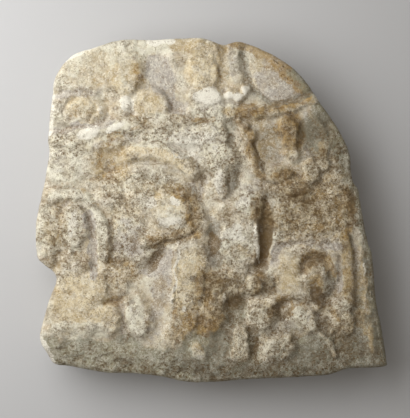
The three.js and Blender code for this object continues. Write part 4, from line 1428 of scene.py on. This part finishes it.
class PoreGroup:
    """Node group for eaten stone: dark pores, brown winding lines, pale winding lines, and a height."""

    NAME = "eaten stone"
    CLUMPS = Speckle(6.0, 0.38, 0.60, 1.0, 3.0, 0.6)
    DOTS = Speckle(1.6, 0.545, 0.565, 1.0, 4.0, 0.8)
    LINED = Speckle(6.0, 0.47, 0.56, 1.0, 5.0, 0.75)
    LINES = ((4.6, 0.05), (2.6, 0.075), (1.7, 0.085))       # size and width of each set of windings
    CURLS = ((3.0, 0.085), (1.9, 0.10))
    LINE_DEPTH = 0.6
    CURL_HEIGHT = 0.4

    @staticmethod
    def curls(w: Wiring, vector: Socket, kinds: Sequence[Point]) -> Socket:
        """Draws thin winding lines.

        Args:
            w: the group's wiring.
            vector: place on the stone.
            kinds: size of the windings in millimetres and width of their lines, for each set of lines.

        Returns:
            The mask of all the lines.
        """
        drawn = None
        for size, width in kinds:
            offset = w.off_middle(w.noise(vector, size, 2.0, 0.5, 0.8))
            thin = w.inverse(w.mask(offset, 0.3 * width, width))
            drawn = thin if drawn is None else w.math("MAXIMUM", drawn, thin)
        return drawn

    @classmethod
    def tree(cls) -> bpy.types.NodeTree:
        """Builds the group once.

        Returns:
            The node group, with inputs Vector and Amount, and outputs Pores, Lines, Curls and Height.
        """
        known = bpy.data.node_groups.get(cls.NAME)
        if known:
            return known
        tree = new_group(cls.NAME, {"Vector": "Vector", "Amount": "Float"},
                         {name: "Float" for name in ("Pores", "Lines", "Curls", "Height")})
        w = Wiring(tree)
        given = w.node("NodeGroupInput").outputs
        place, amount = given["Vector"], given["Amount"]
        pores = w.product(w.speckle(place, cls.DOTS), w.speckle(place, cls.CLUMPS), amount, clamp=True)
        lines = w.product(cls.curls(w, place, cls.LINES), w.speckle(place, cls.LINED), amount, clamp=True)
        spread = w.math("ADD", w.noise(place, 5.0, 4.0, 0.65), w.product(amount, 0.05))
        curls = w.product(cls.curls(w, place, cls.CURLS), w.mask(spread, 0.50, 0.60))
        height = w.math("SUBTRACT", w.inverse(pores), w.product(lines, cls.LINE_DEPTH))
        height = w.math("ADD", height, w.product(curls, cls.CURL_HEIGHT))
        out = w.node("NodeGroupOutput", {"Pores": pores, "Lines": lines, "Curls": curls, "Height": height})
        out.is_active_output = True
        return tree


# ---------------------------------------------------------------- the stone's finish
@dataclass(frozen=True)
class Coat:
    """The look of one stain."""

    colour: Colour
    size_mm: float      # size of the holes in it
    ragged: float       # how broken its edge is
    soft: float         # how gently its edge fades
    opacity: float      # how much of the stone below it hides where it is whole


@dataclass(frozen=True)
class WeatheredMarble:
    """Old marble: cream stone with ochre and brown stains, lilac-grey hollows and white breaks, with painted
    shade in hollows and on the right and painted highlight on the lit rims.
    """

    pale: Colour = (0.76, 0.72, 0.58)
    warm: Colour = (0.64, 0.545, 0.375)
    rosy: Colour = (0.58, 0.49, 0.40)
    under_skin: Colour = (0.44, 0.335, 0.195)
    seam: Colour = (0.20, 0.128, 0.058)
    glint: Colour = (0.93, 0.885, 0.765)

    cream: Coat = Coat((0.80, 0.678, 0.445), 5.0, 1.0, 0.2, 0.85)
    bleach_and_highlight: Coat = Coat((0.84, 0.81, 0.655), 4.0, 1.4, 0.15, 0.85)
    lilac: Coat = Coat((0.455, 0.415, 0.378), 5.0, 1.5, 0.2, 0.9)
    patina: Coat = Coat((0.46, 0.325, 0.138), 9.0, 1.5, 0.35, 0.7)
    ochre: Coat = Coat((0.42, 0.262, 0.078), 7.0, 1.6, 0.16, 0.7)
    moss_and_shade: Coat = Coat((0.285, 0.285, 0.205), 5.0, 1.3, 0.2, 0.75)
    rust: Coat = Coat((0.25, 0.148, 0.048), 5.0, 2.4, 0.06, 0.85)
    fresh: Coat = Coat((0.46, 0.42, 0.34), 9.0, 0.6, 0.25, 1.0)
    soil_and_shade: Coat = Coat((0.18, 0.168, 0.125), 5.0, 1.4, 0.3, 0.72)
    umber_and_shade: Coat = Coat((0.155, 0.098, 0.038), 4.0, 1.0, 0.10, 0.85)
    chalk_and_highlight: Coat = Coat((0.93, 0.895, 0.785), 3.0, 1.9, 0.06, 0.9)

    broad: Speckle = Speckle(16.0, 0.38, 0.62, 1.0, 5.0, 0.65)
    mottle: Speckle = Speckle(4.5, 0.46, 0.60, 0.38, 5.0, 0.7)
    blush: Speckle = Speckle(3.6, 0.50, 0.62, 0.24, 4.0, 0.7)
    salt: Speckle = Speckle(2.3, 0.42, 0.47, 1.0, 6.0, 0.9)
    islands: Speckle = Speckle(5.0, 0.495, 0.525, 1.0, 5.0, 0.72, 0.5)
    flecks: Speckle = Speckle(1.3, 0.59, 0.61, 1.0, 1.0, 0.5)
    fleck_clumps: Speckle = Speckle(5.5, 0.46, 0.54, 1.0, 4.0, 0.7)
    pepper: Speckle = Speckle(2.6, 0.54, 0.60, 1.0, 6.0, 0.9)
    pale_grit: Speckle = Speckle(1.1, 0.585, 0.605, 1.0, 1.0, 0.5, 1.6)
    dark_grit: Speckle = Speckle(1.1, 0.385, 0.405, 1.0, 1.0, 0.5, 1.6)
    uneven: Speckle = Speckle(7.0, 0.46, 0.56, 0.9, 4.0, 0.7)
    ink_clumps: Speckle = Speckle(6.5, 0.5, 0.58, 1.0, 4.0, 0.7)
    specks: Speckle = Speckle(1.25, 0.355, 0.366, 1.0, 1.0, 0.5, 0.6)

    # where each effect begins and where it is whole, in millimetres below the stone round it
    hollow_range: Point = (0.3, 1.6)
    crevice_range: Point = (0.1, 0.9)
    proud_range: Point = (0.1, 1.1)         # millimetres above it
    # and by how pitted the stone is
    busy_range: Point = (-0.3, 0.3)
    eaten_range: Point = (-0.12, 0.48)
    rugged_range: Point = (0.35, 0.9)
    ink_range: Point = (0.0, 0.4)
    speck_range: Point = (0.1, 0.42)

    busy_least: float = 0.4         # how mottled sleek stone still is
    busy_growth: float = 0.65
    hollow_lilac_and_shade: float = 0.45      # how far any hollow takes the lilac skin
    iron_least: float = 0.72        # how far any hollow takes the lilac grey: the stone's skin, and painted shade in recesses
    iron_bare: float = 0.5          # how much more it takes to flaked stone
    rust_share: float = 0.6         # how much of the iron turns to rust
    moss_and_shade_rubbed: float = 0.45       # how much bloom and painted shade is taken off proud parts
    # how much soil film and painted shade is taken off proud parts
    soil_and_shade_rubbed: float = 0.4
    chalk_shield: float = 0.45      # how far chalk-white places, fresh breaks and the painted rim highlight, are spared from pores
    bare_share: float = 0.3         # how brown the stone is where its skin has flaked off
    # how dark narrow crevices are painted: dirt in them and painted shade
    crevice_dirt_and_shade_share: float = 0.5
    salt_share: float = 0.25
    ground_share: float = 0.42      # how dark the ground between islands is on deeply pitted stone
    island_share: float = 0.45      # how cream the islands are
    pepper_share: float = 0.85
    glint_share: float = 0.45
    glint_losses: tuple[tuple[str, float], ...] = (
        ("soil_and_shade", 0.14), ("umber_and_shade", 0.18), ("moss_and_shade", 0.14), ("iron", 0.2), ("wall", 0.2))
    grit_gain: float = 1.15
    dark_grit_share: float = 0.56
    line_share: float = 0.46
    pore_share: float = 0.78
    ink_share: float = 0.72
    speck_share: float = 0.85
    fine_bump: float = 1.3
    coarse_bump: float = 0.65
    eaten_bump: float = 0.9
    bump_strength: float = 0.8
    bump_height_mm: float = 0.5
    sheen: Point = (0.62, 0.9)
    specular: float = 0.35

    def stain(self, w: Wiring, under: object, coat: Coat, cover: object,
              place: Socket) -> Socket:
        """Lays one stain over what is under it.

        Args:
            w: the material's wiring.
            under: colour below.
            coat: the stain's look.
            cover: how strongly it covers.
            place: place on the stone.

        Returns:
            The colour with the stain on it.
        """
        return w.node("ShaderNodeGroup", {
            "Under": under, "Stain": opaque(coat.colour), "Cover": cover, "Vector": place,
            "Opacity": coat.opacity, "Breakup Scale": 1.0 / (coat.size_mm * MM), "Raggedness": coat.ragged,
            "Softness": coat.soft}, node_tree=StainGroup.tree()).outputs["Color"]

    def skin(self, w: Wiring, place: Socket,
             busy: Socket) -> Socket:
        """Colours the stone itself: its cloudy cream body, worn pale skins with some painted highlight, and
        lilac hollows that are partly painted shade.

        Args:
            w: the material's wiring.
            place: place on the stone.
            busy: how mottled each place is.

        Returns:
            The colour.
        """
        colour = w.mix(w.speckle(place, self.broad), self.pale, self.warm)
        colour = w.mix(w.product(w.speckle(place, self.mottle), busy), colour, self.rosy)
        colour = self.stain(w, colour, self.cream, w.attribute("cream"), place)
        colour = self.stain(w, colour, self.bleach_and_highlight, w.attribute("bleach_and_highlight"), place)
        # painted shade: every hollow is turned towards the darker lilac grey, partly the stone's skin and
        # partly the shade in recesses
        sheltered_lilac_and_shade = w.product(w.mask(w.attribute("hollow"), *self.hollow_range), self.hollow_lilac_and_shade)
        colour = self.stain(w, colour, self.lilac, w.math("MAXIMUM", w.attribute("lilac"), sheltered_lilac_and_shade), place)
        return w.mix(w.product(w.speckle(place, self.blush), busy), colour, self.rosy)

    def stained(self, w: Wiring, place: Socket,
                colour: Socket) -> Socket:
        """Lays the stains over the skin, from the thin film to the white breaks; soil, moss and umber also
        carry painted shade, and chalk a painted highlight.

        Args:
            w: the material's wiring.
            place: place on the stone.
            colour: colour of the skin.

        Returns:
            The stained colour.
        """
        torn = w.math("SUBTRACT", w.noise(place, 1.2, 3.0, 0.6), 0.5)
        bare = w.mask(w.math("ADD", w.attribute("flaked"), torn), 0.4, 0.6)
        proud = w.mask(w.product(w.attribute("hollow"), -1.0), *self.proud_range)
        taken = w.math("ADD", self.iron_least, w.product(bare, self.iron_bare))
        iron = w.product(w.attribute("iron"), taken)
        # painted shade: bloom and soil film are taken off proud parts, so they darken the low places
        moss_and_shade = w.math("SUBTRACT", w.attribute("moss_and_shade"), w.product(proud, self.moss_and_shade_rubbed))
        soil_and_shade = w.math("SUBTRACT", w.attribute("soil_and_shade"), w.product(proud, self.soil_and_shade_rubbed))
        colour = w.mix(w.product(bare, self.bare_share), colour, self.under_skin)
        for coat, cover in ((self.patina, w.attribute("patina")), (self.ochre, iron), (self.moss_and_shade, moss_and_shade),
                            (self.rust, w.product(iron, self.rust_share)),
                            (self.fresh, w.attribute("wall")),
                            (self.soil_and_shade, soil_and_shade), (self.umber_and_shade, w.attribute("umber_and_shade")),
                            (self.chalk_and_highlight, w.attribute("chalk_and_highlight"))):
            colour = self.stain(w, colour, coat, cover, place)
        return colour

    def clean(self, w: Wiring) -> Socket:
        """Works out where pale marks show, least on stains and walls.

        Args:
            w: the material's wiring.

        Returns:
            How strongly pale marks show at each place.
        """
        left = self.glint_share
        for name, loss in self.glint_losses:
            left = w.math("SUBTRACT", left, w.product(w.attribute(name), loss), True)
        return left

    def marked(self, w: Wiring, place: Socket, colour: Socket,
               eaten: bpy.types.Node, busy: Socket) -> Socket:
        """Lays the small marks over the stains: crevice dirt with painted shade, islands of sound skin,
        flecks, grit, lines and pores.

        Args:
            w: the material's wiring.
            place: place on the stone.
            colour: colour of the stained stone.
            eaten: the node of eaten stone.
            busy: how mottled each place is.

        Returns:
            The finished colour.
        """
        rough = w.attribute("rough")
        rugged = w.mask(rough, *self.rugged_range)
        islands = w.speckle(place, self.islands)
        mark = w.mix(w.math("MAXIMUM", rugged, w.attribute("moss_and_shade")), self.seam, self.umber_and_shade.colour)
        # painted shade: narrow crevices are darkened with the seam colour, standing for dirt and for the
        # shade that falls in them
        crevice_dirt_and_shade = w.mask(w.attribute("crevice"), *self.crevice_range)
        colour = w.mix(w.product(crevice_dirt_and_shade, self.crevice_dirt_and_shade_share), colour, self.seam)
        colour = w.mix(w.product(w.inverse(islands), rugged, self.ground_share), colour, self.seam)
        colour = w.mix(w.product(islands, rugged, self.island_share), colour, self.cream.colour)
        salt = w.inverse(w.speckle(place, self.salt))
        colour = w.mix(w.product(salt, self.salt_share, busy), colour, self.rust.colour)

        clean = self.clean(w)
        flecks = w.product(w.speckle(place, self.flecks), w.speckle(place, self.fleck_clumps))
        pepper = w.math("MAXIMUM", w.speckle(place, self.pepper), flecks)
        pepper = w.math("MAXIMUM", w.product(pepper, self.pepper_share), eaten.outputs["Curls"])
        colour = w.mix(w.product(pepper, clean), colour, self.glint)
        pale_grit = w.product(w.speckle(place, self.pale_grit), w.product(clean, self.grit_gain))
        colour = w.mix(pale_grit, colour, self.glint)

        uneven = w.math("ADD", 0.3, w.speckle(place, self.uneven))
        dark_grit = w.product(w.inverse(w.speckle(place, self.dark_grit)), uneven, self.dark_grit_share)
        colour = w.mix(dark_grit, colour, self.seam)
        colour = w.mix(w.product(eaten.outputs["Lines"], self.line_share), colour, self.seam)
        colour = w.mix(w.product(eaten.outputs["Pores"], self.pore_share), colour, mark)
        edge = w.inverse(w.mask(w.off_middle(w.noise(place, 2.2, 6.0, 0.85)), 0.014, 0.03))
        ink = w.product(edge, w.speckle(place, self.ink_clumps), w.mask(rough, *self.ink_range),
                        self.ink_share)
        colour = w.mix(ink, colour, self.umber_and_shade.colour)
        specks = w.inverse(w.speckle(place, self.specks))
        specks = w.product(specks, w.mask(rough, *self.speck_range), self.speck_share)
        return w.mix(specks, colour, mark)

    def material(self) -> bpy.types.Material:
        """Builds the material.

        Returns:
            The finished material.
        """
        material = bpy.data.materials.new("weathered_marble")
        material.use_nodes = True
        material.node_tree.nodes.clear()
        w = Wiring(material.node_tree)
        place = w.node("ShaderNodeTexCoord").outputs["Object"]
        rough = w.attribute("rough")
        busy = w.product(w.mask(rough, *self.busy_range), self.busy_growth)
        busy = w.math("ADD", self.busy_least, busy)
        spared = w.product(w.attribute("chalk_and_highlight"), self.chalk_shield)
        amount = w.math("SUBTRACT", w.mask(rough, *self.eaten_range), spared, True)
        eaten = w.node("ShaderNodeGroup", {"Vector": place, "Amount": amount}, node_tree=PoreGroup.tree())
        colour = self.marked(w, place, self.stained(w, place, self.skin(w, place, busy)), eaten, busy)

        coarse = w.noise(place, 2.0, 5.0, 0.75)
        relief = w.math("ADD", w.product(w.noise(place, 0.6, 3.0, 0.75), self.fine_bump),
                        w.product(coarse, self.coarse_bump))
        relief = w.math("ADD", relief, w.product(eaten.outputs["Height"], self.eaten_bump))
        bump = w.node("ShaderNodeBump", {
            "Height": relief, "Strength": self.bump_strength, "Distance": self.bump_height_mm * MM})
        sheen = w.node("ShaderNodeMapRange", {
            "Value": coarse, "To Min": self.sheen[0], "To Max": self.sheen[1]}).outputs["Result"]
        shader = w.node("ShaderNodeBsdfPrincipled", {
            "Base Color": colour, "Roughness": sheen, "Normal": bump.outputs["Normal"],
            "Specular IOR Level": self.specular})
        w.node("ShaderNodeOutputMaterial", {"Surface": shader.outputs["BSDF"]})
        return material


@dataclass(frozen=True)
class PaleFloor:
    """Plain pale studio floor."""

    colour: Colour = (0.52, 0.52, 0.53)
    roughness: float = 0.9
    side: float = 6.0

    def build(self) -> bpy.types.Object:
        """Makes the floor at the height of the block's back.

        Returns:
            The floor.
        """
        half = 0.5 * self.side
        mesh = bpy.data.meshes.new("floor")
        corners = [(-half, -half, 0), (half, -half, 0), (half, half, 0), (-half, half, 0)]
        mesh.from_pydata(corners, [], [(0, 1, 2, 3)])
        material = bpy.data.materials.new("pale_floor")
        material.use_nodes = True
        shader = material.node_tree.nodes["Principled BSDF"]
        shader.inputs["Base Color"].default_value = opaque(self.colour)
        shader.inputs["Roughness"].default_value = self.roughness
        mesh.materials.append(material)
        floor = bpy.data.objects.new("floor", mesh)
        bpy.context.scene.collection.objects.link(floor)
        return floor


# ---------------------------------------------------------------- studio
@dataclass(frozen=True)
class SoftLight:
    """A square soft light that points at a place."""

    name: str
    place: tuple[float, float, float]
    aim: tuple[float, float, float]
    side: float
    power: float
    colour: Colour = (1.0, 1.0, 1.0)

    def build(self) -> bpy.types.Object:
        """Hangs the light.

        Returns:
            The light.
        """
        data = bpy.data.lights.new(self.name, "AREA")
        data.shape = "SQUARE"
        data.size = self.side
        data.energy = self.power
        data.color = self.colour
        light = bpy.data.objects.new(self.name, data)
        light.location = self.place
        direction = np.array(self.aim) - np.array(self.place)
        flat = math.hypot(direction[0], direction[1])
        light.rotation_euler = (math.atan2(flat, -direction[2]), 0.0, math.atan2(-direction[0], direction[1]))
        bpy.context.scene.collection.objects.link(light)
        return light


@dataclass(frozen=True)
class Studio:
    """Camera straight above the carving, a near soft light at its upper left and a pale surround."""

    view_width: float = 0.2378
    view_middle: Point = (-0.0038, 0.0009)
    edge_level: float = 0.030
    camera_height: float = 1.0
    sensor: float = 36.0
    surround: Colour = (1.0, 0.94, 0.85)
    surround_strength: float = 0.26
    lights: tuple[SoftLight, ...] = (
        SoftLight("window", (-0.27, 0.15, 0.32), (0.0, 0.0, 0.0), 0.5, 2.58, (1.0, 1.0, 0.985)),
    )

    def build(self) -> None:
        """Sets up the lights, the surround and the camera."""
        scene = bpy.context.scene
        for light in self.lights:
            light.build()
        world = bpy.data.worlds.new("surround")
        world.use_nodes = True
        sky = world.node_tree.nodes["Background"]
        sky.inputs["Color"].default_value = opaque(self.surround)
        sky.inputs["Strength"].default_value = self.surround_strength
        scene.world = world
        scene.view_settings.view_transform = "Standard"
        data = bpy.data.cameras.new("camera")
        data.sensor_fit = "HORIZONTAL"
        data.sensor_width = self.sensor
        data.lens = self.sensor * (self.camera_height - self.edge_level) / self.view_width
        data.clip_start, data.clip_end = 0.01, 20.0
        camera = bpy.data.objects.new("camera", data)
        camera.location = (*self.view_middle, self.camera_height)
        scene.collection.objects.link(camera)
        scene.camera = camera


def main() -> None:
    """Builds the stone, dresses it and sets up the studio."""
    LOG.info("carving: %s", ", ".join(figure.name for figure in CARVING))
    stone = ReliefPanel().build()
    stone.data.materials.append(WeatheredMarble().material())
    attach(stone, "root")
    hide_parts("relief_panel")
    LOG.info("stone: %d points, %d faces", len(stone.data.vertices), len(stone.data.polygons))
    floor = PaleFloor().build()
    LOG.info("floor: %s", floor.name)
    Studio().build()
    LOG.info("studio: camera and lights placed")


if __name__ == "__main__":
    main()
